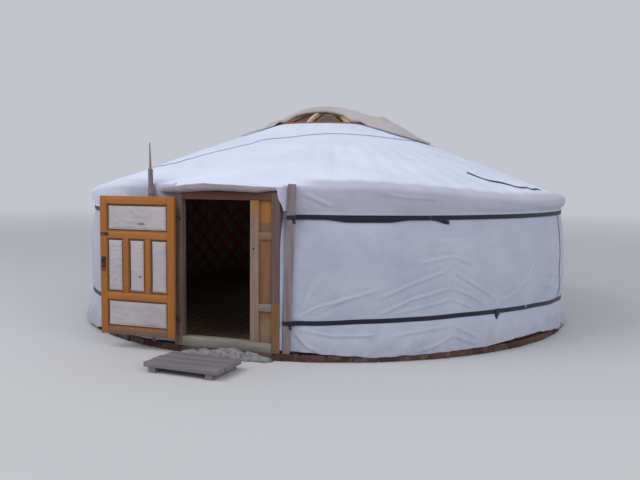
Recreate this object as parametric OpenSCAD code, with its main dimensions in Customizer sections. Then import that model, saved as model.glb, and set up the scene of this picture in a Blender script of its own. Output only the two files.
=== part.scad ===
/* [Ground] */
// Height of the brick course that the walls stand on
footing_h = 70; // [50:5:110]
// How far the brick course reaches in under the wall
footing_in = 140; // [100:5:180]
// How far the brick course stands out past the wall
footing_out = 35; // [20:1:45]
// Top of the floor boards above the ground
floor_top = 110; // [100:5:150]
// Thickness of the floor boards
floor_board_t = 30; // [20:1:40]
// Gap between the floor's edge and the lattice
floor_gap = 22; // [15:1:60]
// Number of joists under the floor
joist_count = 11; // [7:2:15]
// Width of a joist
joist_w = 70; // [50:5:100]
// How far the outer joists lie in from the floor's edge
joist_inset = 298; // [200:1:400]

/* [Doorstep] */
// Width of the loose plank doorstep
step_w = 790; // [600:10:900]
// Depth of the doorstep, away from the door
step_d = 455; // [400:5:600]
// Thickness of its planks
step_plank_t = 45; // [25:1:50]
// Height of its bearers
step_bearer_h = 50; // [20:1:65]
// Width of a bearer
step_bearer_w = 70; // [50:5:90]
// Number of planks
step_planks = 3; // [2:1:5]
// Gap between two planks
step_gap = 6; // [2:1:12]
// How far a bearer lies in from the planks' ends
step_inset = 61; // [10:1:90]
// How far a bearer's end lies in from the planks' edge
step_bearer_in = 10; // [0:1:30]
// Middle of the doorstep along X
step_x = -28; // [-250:1:50]
// Middle of the doorstep in front of the door frame
step_out = 605; // [450:1:700]
// How far the doorstep is turned
step_turn = -3.2; // [-8:0.1:8]

/* [Walls] */
// Height of the lattice's top above the ground
lattice_top = 1519; // [1480:1:1550]
// Inner radius of the lattice
lattice_in_r = 3002; // [2400:1:3600]
// Thickness of one layer of laths
lath_t = 12; // [8:1:12]
// Width of a lath
lath_w = 32; // [24:1:40]
// Angle of the laths from the vertical
lath_lean = 40; // [30:1:45]
// Angle at the axis between neighbouring laths
lath_step = 5.2; // [4.5:0.1:8]
// Thickness of the wall cover, layers of felt and canvas, where it stands out most
cover_t = 74.7; // [40:0.1:90]
// Its thickness at the top, where the upper band presses it on the lattice
cover_top_t = 22; // [15:1:35]
// How far the lower band presses it in
band_pinch = 10; // [4:1:20]
// Height above which the cover draws in towards its top
belly_high_z = 900; // [700:10:1000]
// Height below which it draws in towards the lower band
belly_low_z = 620; // [500:10:690]
// How far the wall cover's top lies below the lattice's top
cover_drop = 24; // [20:1:60]
// How far the cover's hem stands out past the wall
skirt_out = 58; // [50:1:75]
// Thickness of the loose hem
skirt_t = 12; // [6:1:12]
// Height of the hem over the brick course
skirt_gap = 4; // [2:1:12]

/* [Door frame] */
// Width of the door frame over its jambs
frame_w = 1150; // [1130:5:1170]
// Width of each jamb
jamb_w = 85; // [70:1:95]
// Depth of the door frame
frame_d = 90; // [60:5:110]
// How far the frame's face lies behind the round of the wall
frame_back = 15; // [10:1:20]
// Clearance between the frame and the wall's ends
frame_clear = 8; // [4:1:15]
// Top of the sill above the ground
sill_top = 168; // [150:1:190]
// Underside of the head above the lattice's top
head_rise = 38; // [20:1:60]
// Height of the head piece
head_h = 80; // [70:1:90]
// Left edge of the lock post, from the middle of the frame
post_x = 265; // [230:5:290]
// Width of the lock post
post_w = 90; // [70:1:100]
// Height of the hole for the lock's bolt
bolt_hole_z = 1088; // [900:1:1250]
// Diameter of that hole
bolt_hole_d = 22; // [12:1:30]
// Depth of that hole
bolt_hole_depth = 40; // [20:1:70]
// That hole's axis from the post's left edge
bolt_hole_x = 36; // [20:1:50]
// Thickness of the side panel's boards
side_board_t = 20; // [12:1:24]
// How far the side panel lies behind the frame's face
side_recess = 22; // [19:1:40]
// Thickness of the side panel's rails
side_rail_t = 18; // [12:1:18]
// Height of a rail of the side panel
side_rail_h = 74; // [50:1:90]
// Underside of the panel's lower rail above the ground
side_rail_low = 478; // [420:1:560]
// Underside of the panel's upper rail above the ground
side_rail_up = 1178; // [1050:1:1250]

/* [Door leaf] */
// Width of the leaf
leaf_w = 870; // [800:5:880]
// Underside of the leaf above the ground
leaf_low = 150; // [140:1:160]
// How far the leaf laps over the head
leaf_lap = 21; // [10:1:30]
// Thickness of the leaf
leaf_t = 40; // [30:1:50]
// Width of its stiles
stile_w = 80; // [60:1:90]
// Height of its top rail
top_rail_h = 80; // [60:1:100]
// Height of its bottom rail
bottom_rail_h = 75; // [60:1:100]
// Height of its two middle rails
mid_rail_h = 74; // [50:1:90]
// Underside of the upper middle rail above the ground
upper_rail_z = 1145; // [1100:5:1200]
// Underside of the lower middle rail above the ground
lower_rail_z = 512; // [450:2:560]
// Width of the two muntins
muntin_w = 62; // [40:1:80]
// Thickness of the boards in the leaf
leaf_board_t = 10; // [6:1:14]
// Gap between the closed leaf and the frame
leaf_gap = 8; // [7:1:14]
// How far the leaf is swung open, as it stands
leaf_open = 180; // [170:1:180]
// Underside of the lock plate above the ground
lock_plate_z = 800; // [700:5:900]
// Height of the lock plate
lock_plate_h = 150; // [100:5:200]
// Underside of the bolt's plate above the ground
bolt_plate_z = 1168; // [1100:1:1250]
// Height of the bolt's plate
bolt_plate_h = 34; // [20:1:50]
// Middle of the pull handle above the ground
pull_z = 960; // [850:5:1100]
// Length of the pull handle
pull_span = 130; // [90:5:180]
// How far the pull handle stands out
pull_reach = 42; // [30:1:55]
// Diameter of the pull handle's bar
pull_d = 12; // [8:1:16]

/* [Hinges] */
// Hinge pin in front of the leaf's outer face
pin_out = 8; // [6:1:12]
// Hinge pin in from the frame's outer edge
pin_in = 72; // [60:1:80]
// Gap from the pin's axis to the leaf's edge
pin_edge = 14; // [13:1:18]
// Radius of the hinge pin
pin_r = 6.2; // [5:0.1:7]
// Radial play of the eye on the pin
pin_play = 0.08; // [0.03:0.01:0.1]
// Wall of the hinge eye
eye_wall = 4.5; // [3:0.5:5]
// Height of the hinge eye
eye_h = 46; // [30:1:60]
// Height of the lower hinge above the ground
hinge_low_z = 350; // [300:5:450]
// Height of the upper hinge above the ground
hinge_high_z = 1390; // [1250:5:1450]
// Length of a hinge strap along the leaf
strap_len = 280; // [150:5:400]
// Height of a hinge strap
strap_h = 36; // [25:1:42]
// Thickness of a hinge strap
strap_t = 4; // [3:0.5:5]

/* [Roof] */
// Slope of the roof poles
pitch = 20.9; // [18:0.1:22]
// Number of roof poles
pole_count = 60; // [40:4:72]
// Diameter of a roof pole
pole_d = 36; // [26:1:40]
// How far the poles reach out past the lattice
pole_out = 40; // [15:1:45]
// Thickness of the roof cover, felt and canvas
roof_t = 45; // [30:1:60]
// How far the rounded eave stands out past the poles' ends
eave_out = 43; // [38:1:60]
// Radius of the eave's rounding
eave_round = 60; // [50:1:66]
// Thickness of the canvas valance
valance_t = 7; // [5:1:10]
// Play between the valance and the wall cover
valance_play = 2.5; // [2:0.5:6]
// How far the valance hangs below the wall cover's top
valance_drop = 110; // [90:1:150]
// How far the raised roof reaches past the door frame
door_lap = 16.5; // [10:0.5:25]
// Angle to which the roof over the door keeps its full height
blend_from = 24; // [16:1:36]
// Angle at which the raised roof meets the plain eave
blend_sweep = 66; // [50:1:72]
// Radius of the felt roll over the door
roll_r = 34; // [25:1:36]
// How far the roll sags below the cover's edge
roll_sag = 14; // [0:1:20]

/* [Crown] */
// Outer radius of the crown ring
crown_r = 740; // [680:5:760]
// Radial width of the crown ring
crown_w = 90; // [80:1:110]
// Height of the crown ring
crown_h = 125; // [110:5:160]
// Rise of the arches over the ring's top
arch_rise = 200; // [140:5:240]
// Number of arches across the crown
arch_count = 4; // [3:1:6]
// Width of an arch
arch_w = 38; // [26:1:50]
// Depth of an arch
arch_d = 44; // [30:1:60]
// Radius of the small ring in the middle of the arches
hub_r = 110; // [90:5:200]
// How far the arches are turned from the door
crown_turn = 19; // [0:1:44]
// Depth of the sockets that take the poles
socket_depth = 45; // [30:1:55]
// Clearance round a pole in its socket
socket_play = 0.5; // [0.3:0.1:1]
// Thickness of the folded felt crown cover
crown_cover_t = 51; // [30:1:60]
// Its thickness at the left tip
crown_cover_tip_t = 20; // [12:1:30]
// Height of the bulge on the cover's right side
cover_bulge = 96; // [0:1:120]
// Where the bulge lies, to the right of the crown's middle
bulge_x = 860; // [700:10:950]

/* [Bands and battens] */
// Width of the webbing bands
band_w = 50; // [30:1:60]
// Thickness of the bands
band_t = 4; // [3:0.5:5]
// Height of the upper band's middle above the valance's hem
upper_band_up = 26; // [20:1:60]
// How far a knot stands above and below its band
knot_high = 8; // [4:1:15]
// How far a knot stands out round the batten and the pole
knot_out = 5; // [2:1:12]
// Height of the lower band's middle
lower_band_z = 400; // [300:5:500]
// Gap from the door frame to the batten at the cover's right edge
batten_gap = 19; // [10:1:60]
// Width of the batten
batten_w = 75; // [50:1:90]
// Thickness of the batten
batten_t = 22; // [15:1:30]
// How far the batten stands up above the lattice's top
batten_up = 200; // [150:1:240]
// Sideways lean of the batten
batten_lean = 1.75; // [0:0.05:2.5]
// Gap from the door frame to the pole at the cover's left edge
stake_gap = 249; // [150:1:300]
// Diameter of that pole
stake_d = 50; // [40:1:60]
// How far its thick part stands up above the lattice's top
stake_up = 336; // [280:1:380]
// Length of its thin tip
stake_tip = 268; // [100:1:350]
// Sideways lean of that pole
stake_lean = 1.1; // [0:0.1:2]
// Width of the loose strap on the roof
loose_strap_w = 28; // [20:1:40]

/* [Hidden] */

// Distance at which pieces that only touch are kept apart
seat = 0.3;
// Facets of the large round shapes and of the small ones
round_fn = 240;
small_fn = 32;

// Radii of the wall's layers, from the lattice out
lattice_out_r = lattice_in_r + 2 * lath_t - 1;
cover_in_r = lattice_out_r + seat;
wall_r = cover_in_r + cover_t;
cover_low_r = wall_r - band_pinch;
cover_top_r = cover_in_r + cover_top_t;
valance_r = cover_top_r + valance_play + valance_t;
// Angle that a seat takes up at the wall
seat_turn = asin(seat / wall_r);

// Radii of the brick course, the floor, the poles' ends and the eave
footing_in_r = wall_r - footing_in;
footing_out_r = wall_r + footing_out;
floor_r = lattice_in_r - floor_gap;
pole_end_r = lattice_out_r + pole_out;
eave_r = pole_end_r + eave_out;

// Half width of the frame and angle of its outer edge at the wall
frame_half = frame_w / 2;
frame_front = wall_r - frame_back;
frame_edge = asin((frame_half + frame_clear) / cover_in_r);
inner_half = frame_half - jamb_w;
pin_x = -frame_half + pin_in;
door_sweep = asin((frame_half + door_lap) / wall_r);
batten_at = asin((frame_half + batten_gap + batten_w / 2) / wall_r);
stake_at = -asin((frame_half + stake_gap + stake_d / 2) / wall_r);

// Heights that follow the lattice's top
head_under = lattice_top + head_rise;
cover_top = lattice_top - cover_drop;
valance_low = cover_top - valance_drop;
upper_band_z = valance_low + upper_band_up;
batten_low = footing_h + 1.6;
batten_high = lattice_top + batten_up;
stake_h = lattice_top + stake_up;
leaf_h = head_under + leaf_lap - leaf_low;

// Angle between the first and the last edge of the wall
wall_sweep = 360 - 2 * frame_edge;
lattice_sections = 5;
cover_sections = 4;
roof_sections = 4;

// Roof pole's axis: on the lattice, with a given slope
function half_pole(p) = pole_d / 2 / cos(p);
function pole_z(r) = lattice_top + seat + half_pole(pitch) + tan(pitch) * (lattice_out_r - r);
crown_axis_z = pole_z(crown_r);

// Poles over the door rest on the head instead
door_pole_end = frame_front - 20;
head_top = head_under + head_h;
door_pitch_rise = crown_axis_z - head_top - seat;
door_pitch = atan((door_pitch_rise - pole_d / 2) / (door_pole_end - crown_r));
door_pole_z0 = head_top + seat + half_pole(door_pitch);
door_slope = (crown_axis_z - door_pole_z0) / (door_pole_end - crown_r);
function door_pole_z(r) = door_pole_z0 + door_slope * (door_pole_end - r);

// Faces of the roof cover, which lies on the poles
function plain_in_z(r) = pole_z(r) + half_pole(pitch) + seat;
function plain_out_z(r) = plain_in_z(r) + roof_t / cos(pitch);
function door_in_z(r) = door_pole_z(r) + half_pole(door_pitch) + seat;
function lift_z(r) = max(0, door_in_z(r) - plain_in_z(r));
roof_top_r = crown_r + 12;

// Crown ring's height on the poles' upper ends
crown_low = crown_axis_z - 42;
crown_top = crown_low + crown_h;
arch_span = crown_r - crown_w / 2;
arch_r = (arch_span * arch_span + arch_rise * arch_rise) / (2 * arch_rise);
arch_top = crown_top + arch_rise;
function arch_z(r) = arch_top - arch_r + sqrt(arch_r * arch_r - r * r);

// Hinge pin and the leaf's closed place
leaf_in_y = -(frame_front + leaf_gap);
leaf_out_y = leaf_in_y - leaf_t;
pin_y = leaf_out_y - pin_out;
leaf_x = pin_x + pin_edge;
hinge_heights = [hinge_low_z, hinge_high_z];

// Points of the loose strap on the roof: angle at the axis and distance in from the eave
strap_route = [[60, 721], [60.7, 622], [62, 540], [63.5, 480], [66.1, 376], [71, 280],
    [75.5, 258], [80, 243]];

// Front edge of the folded crown cover, from its left tip to its right one
cover_front = [[-1180, -500], [-850, -600], [-520, -580], [-250, -490], [0, -450], [180, -540],
    [320, -670], [560, -725], [900, -755], [1100, -690], [1320, -540]];
// Where the cover's back corner lies
cover_back = [60, 1000];

// A ring sector between two angles, measured from the door
module sector(from, to) {
    rotate([0, 0, from - 90]) rotate_extrude(angle = to - from, $fn = round_fn) children();
}

module tube_profile(r_in, r_out, low, high) {
    translate([r_in, low]) square([r_out - r_in, high - low]);
}

module brick_footing() {
    color("#4a2e2c") rotate_extrude($fn = round_fn) tube_profile(footing_in_r, footing_out_r, 0, footing_h);
}

module floor_joists() {
    first = -floor_r + joist_inset;
    color("#6b4a33") for (i = [0 : joist_count - 1]) {
        x = first - 2 * first * i / (joist_count - 1);
        half = sqrt(pow(footing_in_r - seat, 2) - pow(abs(x) + joist_w / 2, 2));
        translate([x - joist_w / 2, -half, 0]) cube([joist_w, 2 * half, floor_top - floor_board_t]);
    }
}

module floor_boards() {
    color("#7a4f35") translate([0, 0, floor_top - floor_board_t])
        cylinder(r = floor_r, h = floor_board_t, $fn = round_fn);
}

module at_doorstep() {
    translate([step_x, -frame_front - step_out, 0]) rotate([0, 0, step_turn]) children();
}

module doorstep_planks() {
    plank = (step_d - step_gap * (step_planks - 1)) / step_planks;
    color("#6a666a") at_doorstep() for (i = [0 : step_planks - 1])
        translate([-step_w / 2, -step_d / 2 + i * (plank + step_gap), step_bearer_h])
            cube([step_w, plank, step_plank_t]);
}

module doorstep_bearers() {
    middle = step_w / 2 - step_inset - step_bearer_w / 2;
    color("#5a5452") at_doorstep() for (side = [-1, 1])
        translate([side * middle - step_bearer_w / 2, -step_d / 2 + step_bearer_in, 0])
            cube([step_bearer_w, step_d - 2 * step_bearer_in, step_bearer_h]);
}

// A block of the door frame: from x, wide w, between two heights
module frame_block(x, w, low, high) {
    translate([x, -frame_front, low]) cube([w, frame_d, high - low]);
}

module door_sill() {
    color("#8a857c") frame_block(-inner_half, 2 * inner_half, footing_h, sill_top);
}

module left_jamb() {
    color("#4a3a34") frame_block(-frame_half, jamb_w, footing_h, head_top);
}

module right_jamb() {
    color("#8a5a30") frame_block(inner_half, jamb_w, footing_h, head_top);
}

module door_head() {
    color("#7a4a30") frame_block(-inner_half, 2 * inner_half, head_under, head_top);
}

module lock_post() {
    color("#a08c78") difference() {
        frame_block(post_x, post_w, sill_top, head_under);
        translate([post_x + bolt_hole_x, -frame_front - 1, bolt_hole_z])
            rotate([-90, 0, 0]) cylinder(d = bolt_hole_d, h = bolt_hole_depth + 1, $fn = small_fn);
    }
}

module side_panel() {
    x = post_x + post_w;
    color("#8a5a30") translate([x, -frame_front + side_recess, 0]) union() {
        translate([0, 0, sill_top]) cube([inner_half - x, side_board_t, head_under - sill_top]);
        for (z = [side_rail_low, side_rail_up])
            translate([0, -side_rail_t, z]) cube([inner_half - x, side_rail_t + 1, side_rail_h]);
    }
}

// The leaf's parts are drawn shut and then swung open about the pin
module swung() {
    translate([pin_x, pin_y, 0]) rotate([0, 0, -leaf_open]) translate([-pin_x, -pin_y, 0]) children();
}

// The five openings of the leaf, each as [x, z, width, height]
leaf_clear = leaf_w - 2 * stile_w;
pane_w = (leaf_clear - 2 * muntin_w) / 3;
top_pane_z = upper_rail_z + mid_rail_h;
mid_pane_z = lower_rail_z + mid_rail_h;
low_pane_z = leaf_low + bottom_rail_h;
pane_x = leaf_x + stile_w;
leaf_panes = concat(
    [[pane_x, top_pane_z, leaf_clear, leaf_low + leaf_h - top_rail_h - top_pane_z]],
    [for (i = [0 : 2]) [pane_x + i * (pane_w + muntin_w), mid_pane_z, pane_w, upper_rail_z - mid_pane_z]],
    [[pane_x, low_pane_z, leaf_clear, lower_rail_z - low_pane_z]]
);

module pane_block(pane, margin, y, thick) {
    translate([pane[0] + margin, y, pane[1] + margin])
        cube([pane[2] - 2 * margin, thick, pane[3] - 2 * margin]);
}

module leaf_frame() {
    color("#a8693a") swung() difference() {
        translate([leaf_x, leaf_out_y, leaf_low]) cube([leaf_w, leaf_t, leaf_h]);
        for (pane = leaf_panes) pane_block(pane, 0, leaf_out_y - 1, leaf_t + 2);
    }
}

module leaf_boards() {
    color("#8a5a34") swung() for (pane = leaf_panes) pane_block(pane, 0, leaf_out_y + 4, leaf_board_t);
}

module leaf_pads() {
    low = leaf_out_y + 4 + leaf_board_t + seat;
    color("#b8b2b4") swung() for (pane = leaf_panes)
        pane_block(pane, 1, low, leaf_in_y - 3 - low);
}

module leaf_ironwork() {
    eye_r = pin_r + pin_play;
    lock_x = leaf_x + leaf_w - stile_w;
    color("#4c4844") swung() {
        for (z = hinge_heights) difference() {
            union() {
                translate([pin_x, pin_y, z - eye_h / 2]) cylinder(r = eye_r + eye_wall, h = eye_h, $fn = 48);
                translate([pin_x, leaf_out_y - strap_t, z - strap_h / 2]) cube([strap_len, strap_t, strap_h]);
            }
            translate([pin_x, pin_y, z - eye_h]) cylinder(r = eye_r, h = 2 * eye_h, $fn = 48);
        }
        translate([lock_x + 10, leaf_in_y, lock_plate_z]) cube([stile_w - 22, 2, lock_plate_h]);
        translate([lock_x - 20, leaf_in_y, bolt_plate_z]) cube([stile_w + 15, 2, bolt_plate_h]);
        translate([lock_x + stile_w / 2, leaf_out_y - 2, pull_z]) rotate([90, 0, 0]) pull_handle();
    }
}

// Plain iron pull on the outer face
module pull_handle() {
    for (y = [-pull_span / 2, pull_span / 2]) {
        translate([0, y, -2]) cylinder(d = pull_d + 22, h = 4, $fn = small_fn);
        translate([0, y, 0]) cylinder(d = pull_d, h = pull_reach, $fn = small_fn);
    }
    translate([0, -(pull_span + pull_d) / 2, pull_reach - pull_d / 2]) rotate([-90, 0, 0])
        cylinder(d = pull_d, h = pull_span + pull_d, $fn = small_fn);
}

module hinge_hooks() {
    arm_d = 12;
    color("#3c3834") for (z = hinge_heights) {
        arm_z = z - eye_h / 2 - 0.5 - arm_d / 2;
        translate([pin_x, -frame_front, arm_z]) rotate([90, 0, 0])
            cylinder(d = arm_d, h = -pin_y - frame_front, $fn = small_fn);
        translate([pin_x, pin_y, arm_z - arm_d / 2]) cylinder(r = pin_r, h = eye_h + arm_d + 6.5, $fn = 48);
    }
}

// One layer of slanted laths of a wall section, in short flats round the wall.
// The outer layer is set back a little, so the sections meet on their inner laths
lattice_sweep = wall_sweep / lattice_sections;
lattice_flats = 14;
function arc_point(r, a) = [r * sin(a), -r * cos(a)];

module lath_layer(r_in, r_out, lean, set_back) {
    reach = ceil((lattice_top - footing_h) * tan(lath_lean) / 2 / lattice_in_r * 57.3 / lath_step) + 1;
    count = round(lattice_sweep / lath_step);
    turns = [for (i = [0 : lattice_flats])
        min(max(lattice_sweep * i / lattice_flats, set_back), lattice_sweep - set_back)];
    lean_reach = (lattice_top - footing_h) * tan(lath_lean) / 2;
    cut_depth = 4 * (r_out - sqrt(r_out * r_out - lean_reach * lean_reach));
    cut_len = 1.3 * (lattice_top - footing_h) / cos(lath_lean);
    intersection() {
        translate([0, 0, footing_h]) linear_extrude(lattice_top - footing_h) polygon(concat(
            [for (a = turns) arc_point(r_out, a)],
            [for (i = [0 : lattice_flats]) arc_point(r_in, turns[lattice_flats - i])]
        ));
        for (i = [-reach : count + reach])
            rotate([0, 0, (i + 0.5) * lattice_sweep / count])
                translate([0, -(r_in + r_out) / 2, (footing_h + lattice_top) / 2])
                    rotate([0, lean, 0]) cube([lath_w, cut_depth, cut_len], center = true);
    }
}

module lattice_section(index) {
    color("#9c4a34") rotate([0, 0, frame_edge + lattice_sweep * (index - 1)]) union() {
        lath_layer(lattice_in_r, lattice_in_r + lath_t, lath_lean, 0);
        lath_layer(lattice_in_r + lath_t - 1, lattice_out_r, -lath_lean, 0.05);
    }
}

// A roof pole at an angle, from its lower end in to a radius
module pole_at(angle, r_out, z_out, slope, r_in, d) {
    rotate([0, 0, angle]) translate([0, -r_out, z_out]) rotate([slope - 90, 0, 0])
        cylinder(d = d, h = (r_out - r_in) / cos(slope), $fn = small_fn);
}

pole_step = 360 / pole_count;
function pole_angle(i) = pole_step * (i + 0.5);
function over_door(a) = a < frame_edge || a > 360 - frame_edge;
door_angles = [for (i = [0 : pole_count - 1]) if (over_door(pole_angle(i))) pole_angle(i)];
wall_angles = [for (i = [0 : pole_count - 1]) if (!over_door(pole_angle(i))) pole_angle(i)];
pole_tip_r = crown_r - socket_depth + 0.5;

module door_poles() {
    color("#a5512f") for (a = door_angles)
        pole_at(a, door_pole_end, door_pole_z0, atan(door_slope), pole_tip_r, pole_d);
}

module roof_poles(index) {
    per = len(wall_angles) / 4;
    color("#a5512f") for (i = [0 : len(wall_angles) - 1]) if (floor(i / per) == index - 1)
        pole_at(wall_angles[i], pole_end_r, pole_z(pole_end_r), pitch, pole_tip_r, pole_d);
}

module crown_ring() {
    bore = pole_d + 2 * socket_play;
    outer = crown_r + 60;
    color("#8a4a2c") difference() {
        rotate_extrude($fn = round_fn) tube_profile(crown_r - crown_w, crown_r, crown_low, crown_top);
        for (a = door_angles)
            pole_at(a, outer, door_pole_z(outer), atan(door_slope), crown_r - socket_depth, bore);
        for (a = wall_angles)
            pole_at(a, outer, pole_z(outer), pitch, crown_r - socket_depth, bore);
    }
}

// Curved arches that cross over the crown, with a small ring between them
module crown_arches() {
    half = asin(arch_span / arch_r);
    color("#96522f") rotate([0, 0, crown_turn]) difference() {
        union() {
            for (i = [0 : arch_count - 1])
                rotate([0, 0, (i + 0.5) * 180 / arch_count]) translate([0, 0, arch_top - arch_r])
                    rotate([90, 0, 0]) rotate([0, 0, 90 - half])
                        rotate_extrude(angle = 2 * half, $fn = round_fn)
                            translate([arch_r - arch_d, -arch_w / 2]) square([arch_d, arch_w]);
            translate([0, 0, arch_z(hub_r) - arch_d + 4])
                rotate_extrude($fn = 96) translate([hub_r - 18, 0]) square([36, arch_d - 6]);
        }
        translate([0, 0, crown_low - crown_h]) cylinder(r = crown_r + 10, h = 2 * crown_h, $fn = 96);
    }
}

// Angles between which the hem is loose: clear of the batten and of the pole
function turn_of(width) = asin(width / wall_r);
skirt_from = batten_at + turn_of(batten_w / 2 + 70);
skirt_to = 360 + stake_at - turn_of(stake_d / 2 + 45);
skirt_top = lower_band_z - band_w / 2 - 3;

// The cover stands out between its bands, and its top is drawn in on the lattice
belly_steps = 5;
belly = [for (i = [0 : belly_steps]) let (t = i / belly_steps)
    [wall_r - (wall_r - cover_top_r) * t * t, belly_high_z + (valance_low - belly_high_z) * t]];
wall_profile = concat(
    [[cover_in_r, footing_h + seat], [cover_low_r, footing_h + seat]],
    [[cover_low_r, lower_band_z + band_w / 2 + knot_high + 1], [wall_r, belly_low_z]], belly,
    [[cover_top_r, cover_top], [cover_in_r, cover_top]]
);

module wall_cover(index) {
    sweep = wall_sweep / cover_sections;
    from = frame_edge + sweep * (index - 1) + seat_turn / 2;
    to = from + sweep - seat_turn;
    hem_z = footing_h + skirt_gap;
    hem_r = wall_r + skirt_out;
    color("#b4b8ca") union() {
        sector(from, to) polygon(wall_profile);
        sector(max(from, skirt_from), min(to, skirt_to)) polygon([
            [cover_low_r - 10, skirt_top], [cover_low_r, skirt_top], [hem_r, hem_z], [hem_r - skirt_t, hem_z],
            [cover_low_r - 10, skirt_top - 60]
        ]);
    }
}

// Points of the eave, from the roof's face round to the valance's hem
eave_c_r = eave_r - eave_round;
eave_c = [eave_c_r, plain_out_z(eave_c_r + eave_round * sin(pitch)) - eave_round * cos(pitch)];
function eave_arc(radius, from, to, steps) = [for (i = [0 : steps])
    eave_c + radius * [cos(from + (to - from) * i / steps), sin(from + (to - from) * i / steps)]];
valance_neck = upper_band_z + band_w / 2 + knot_high + 1;
eave_turn = 90 - pitch;
eave_outer = concat(
    eave_arc(eave_round, eave_turn, -20, 5), [[valance_r, valance_neck], [valance_r, valance_low]]
);
eave_inner = concat(
    [[valance_r - valance_t, valance_low], [valance_r - valance_t, valance_neck]],
    eave_arc(eave_round - valance_t, -20, 40, 3),
    [[pole_end_r + 8, plain_in_z(pole_end_r + 8)]]
);
roof_mid_r = (roof_top_r + pole_end_r) / 2;
roof_profile = concat(
    [[roof_top_r, plain_out_z(roof_top_r)], [roof_mid_r, plain_out_z(roof_mid_r)]], eave_outer,
    eave_inner, [[roof_mid_r, plain_in_z(roof_mid_r)], [roof_top_r, plain_in_z(roof_top_r)]]
);

module roof_cover(index) {
    sweep = (360 - 2 * blend_sweep) / roof_sections;
    from = blend_sweep + sweep * (index - 1) + seat_turn / 2;
    color("#d6ddf0") sector(from, from + sweep - seat_turn) polygon(roof_profile);
}

// Over the door the cover lies on the raised poles and stops at the roll
door_edge_r = frame_front + 1;
module roof_cover_door() {
    color("#d6ddf0") sector(-door_sweep, door_sweep) polygon([
        [roof_top_r, door_in_z(roof_top_r)], [door_edge_r, door_in_z(door_edge_r)],
        [door_edge_r, door_in_z(door_edge_r) + roof_t / cos(pitch)],
        [roof_top_r, door_in_z(roof_top_r) + roof_t / cos(pitch)]
    ]);
}

// Beside it the eave comes down to the plain one, while the valance's hem stays level
flank_steps = 16;
flank_angles = [for (i = [0 : flank_steps])
    door_sweep + seat_turn + (blend_sweep - door_sweep - 2 * seat_turn) * i / flank_steps];
function smooth(t) = t * t * (3 - 2 * t);
function raised_share(a) = smooth(max(0, min(1, (blend_sweep - a) / (blend_sweep - blend_from))));
function raised_by(r, a) = raised_share(a) * lift_z(min(r, door_pole_end));
function flank_ring(a) = [for (p = roof_profile) p[1] > valance_neck ? [p[0], p[1] + raised_by(p[0], a)] : p];

// Pairs of an outer and an inner point across the cover's thickness, from the crown to the hem
cap_rungs = [[0, 18], [1, 17], [2, 16], [3, 15], [4, 14], [5, 13], [6, 13], [7, 12], [8, 11], [9, 10]];
cover_cap = [for (i = [0 : len(cap_rungs) - 2]) let (a = cap_rungs[i], b = cap_rungs[i + 1])
    for (t = a[1] == b[1] ? [[a[0], b[0], b[1]]] : [[a[0], b[0], b[1]], [a[0], b[1], a[1]]]) t];

// A solid lofted through one closed ring of points at each angle, and closed at both ends
module angle_loft(angles, rings, cap, flip) {
    n = len(rings[0]);
    m = len(angles);
    points = [for (k = [0 : m - 1]) for (p = rings[k])
        [p[0] * sin(angles[k]) * flip, -p[0] * cos(angles[k]), p[1]]];
    sides = [for (k = [0 : m - 2]) for (i = [0 : n - 1])
        let (j = (i + 1) % n, a = k * n + i, b = k * n + j, c = a + n, d = b + n)
        for (t = [[a, c, b], [b, c, d]]) flip > 0 ? t : [t[2], t[1], t[0]]];
    first = [for (t = cap) flip > 0 ? t : [t[2], t[1], t[0]]];
    last = [for (t = first) [t[2], t[1], t[0]] + (m - 1) * n * [1, 1, 1]];
    polyhedron(points, concat(sides, first, last));
}

module roof_cover_flanks() {
    rings = [for (a = flank_angles) flank_ring(a)];
    color("#ccd3e8") for (flip = [-1, 1]) angle_loft(flank_angles, rings, cover_cap, flip);
}

module door_roll() {
    z = door_in_z(door_edge_r) + roof_t / 2 - roll_sag;
    color("#a8a0a0") sector(-door_sweep + 0.1, door_sweep - 0.8)
        translate([door_edge_r + roll_r + seat, z]) circle(roll_r, $fn = small_fn);
}

// The batten stands outside the cover and leans out to the eave
lean_out = atan((eave_r + 1 - wall_r) / (eave_c[1] + 95 - batten_low));
module edge_batten(grow = 0) {
    color("#7c706c") rotate([0, 0, batten_at]) translate([0, -wall_r - 1, batten_low])
        rotate([lean_out, batten_lean, 0]) translate([-batten_w / 2 - grow, -batten_t - grow, -grow])
            cube([batten_w + 2 * grow, batten_t + 2 * grow, batten_high - batten_low + 2 * grow]);
}

module edge_pole(grow = 0) {
    r = stake_d / 2 + grow;
    color("#6f6660") rotate([0, 0, stake_at]) translate([0, -wall_r - stake_d / 2 - 4, footing_h + 1.3])
        rotate([lean_out, -stake_lean, 0]) {
            cylinder(r = r, h = stake_h - footing_h, $fn = small_fn);
            translate([0, 0, stake_h - footing_h]) cylinder(r1 = 13, r2 = 5, h = stake_tip, $fn = small_fn);
        }
}

// A band round the wall from the batten back to the pole, knotted at both
module band(z, r) {
    from = batten_at + 0.4;
    to = 360 + stake_at - 0.3;
    block = band_w + 2 * knot_high;
    batten_shift = (z - batten_low) * tan(batten_lean);
    pole_shift = -(z - footing_h) * tan(stake_lean);
    batten_knot = wall_r + 1 + (z - batten_low) * tan(lean_out) + batten_t + knot_out - r;
    pole_knot = wall_r + 4 + stake_d + (z - footing_h) * tan(lean_out) + knot_out - r;
    difference() {
        union() {
            sector(from, to) tube_profile(r, r + band_t, z - band_w / 2, z + band_w / 2);
            rotate([0, 0, batten_at])
                translate([batten_shift - batten_w / 2 - 14, -r - batten_knot, z - block / 2])
                    cube([batten_w + 28, batten_knot, block]);
            rotate([0, 0, stake_at])
                translate([pole_shift - stake_d / 2 - 17, -r - pole_knot, z - block / 2])
                    cube([stake_d + 34, pole_knot, block]);
        }
        edge_batten(seat);
        edge_pole(seat);
    }
}

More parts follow.
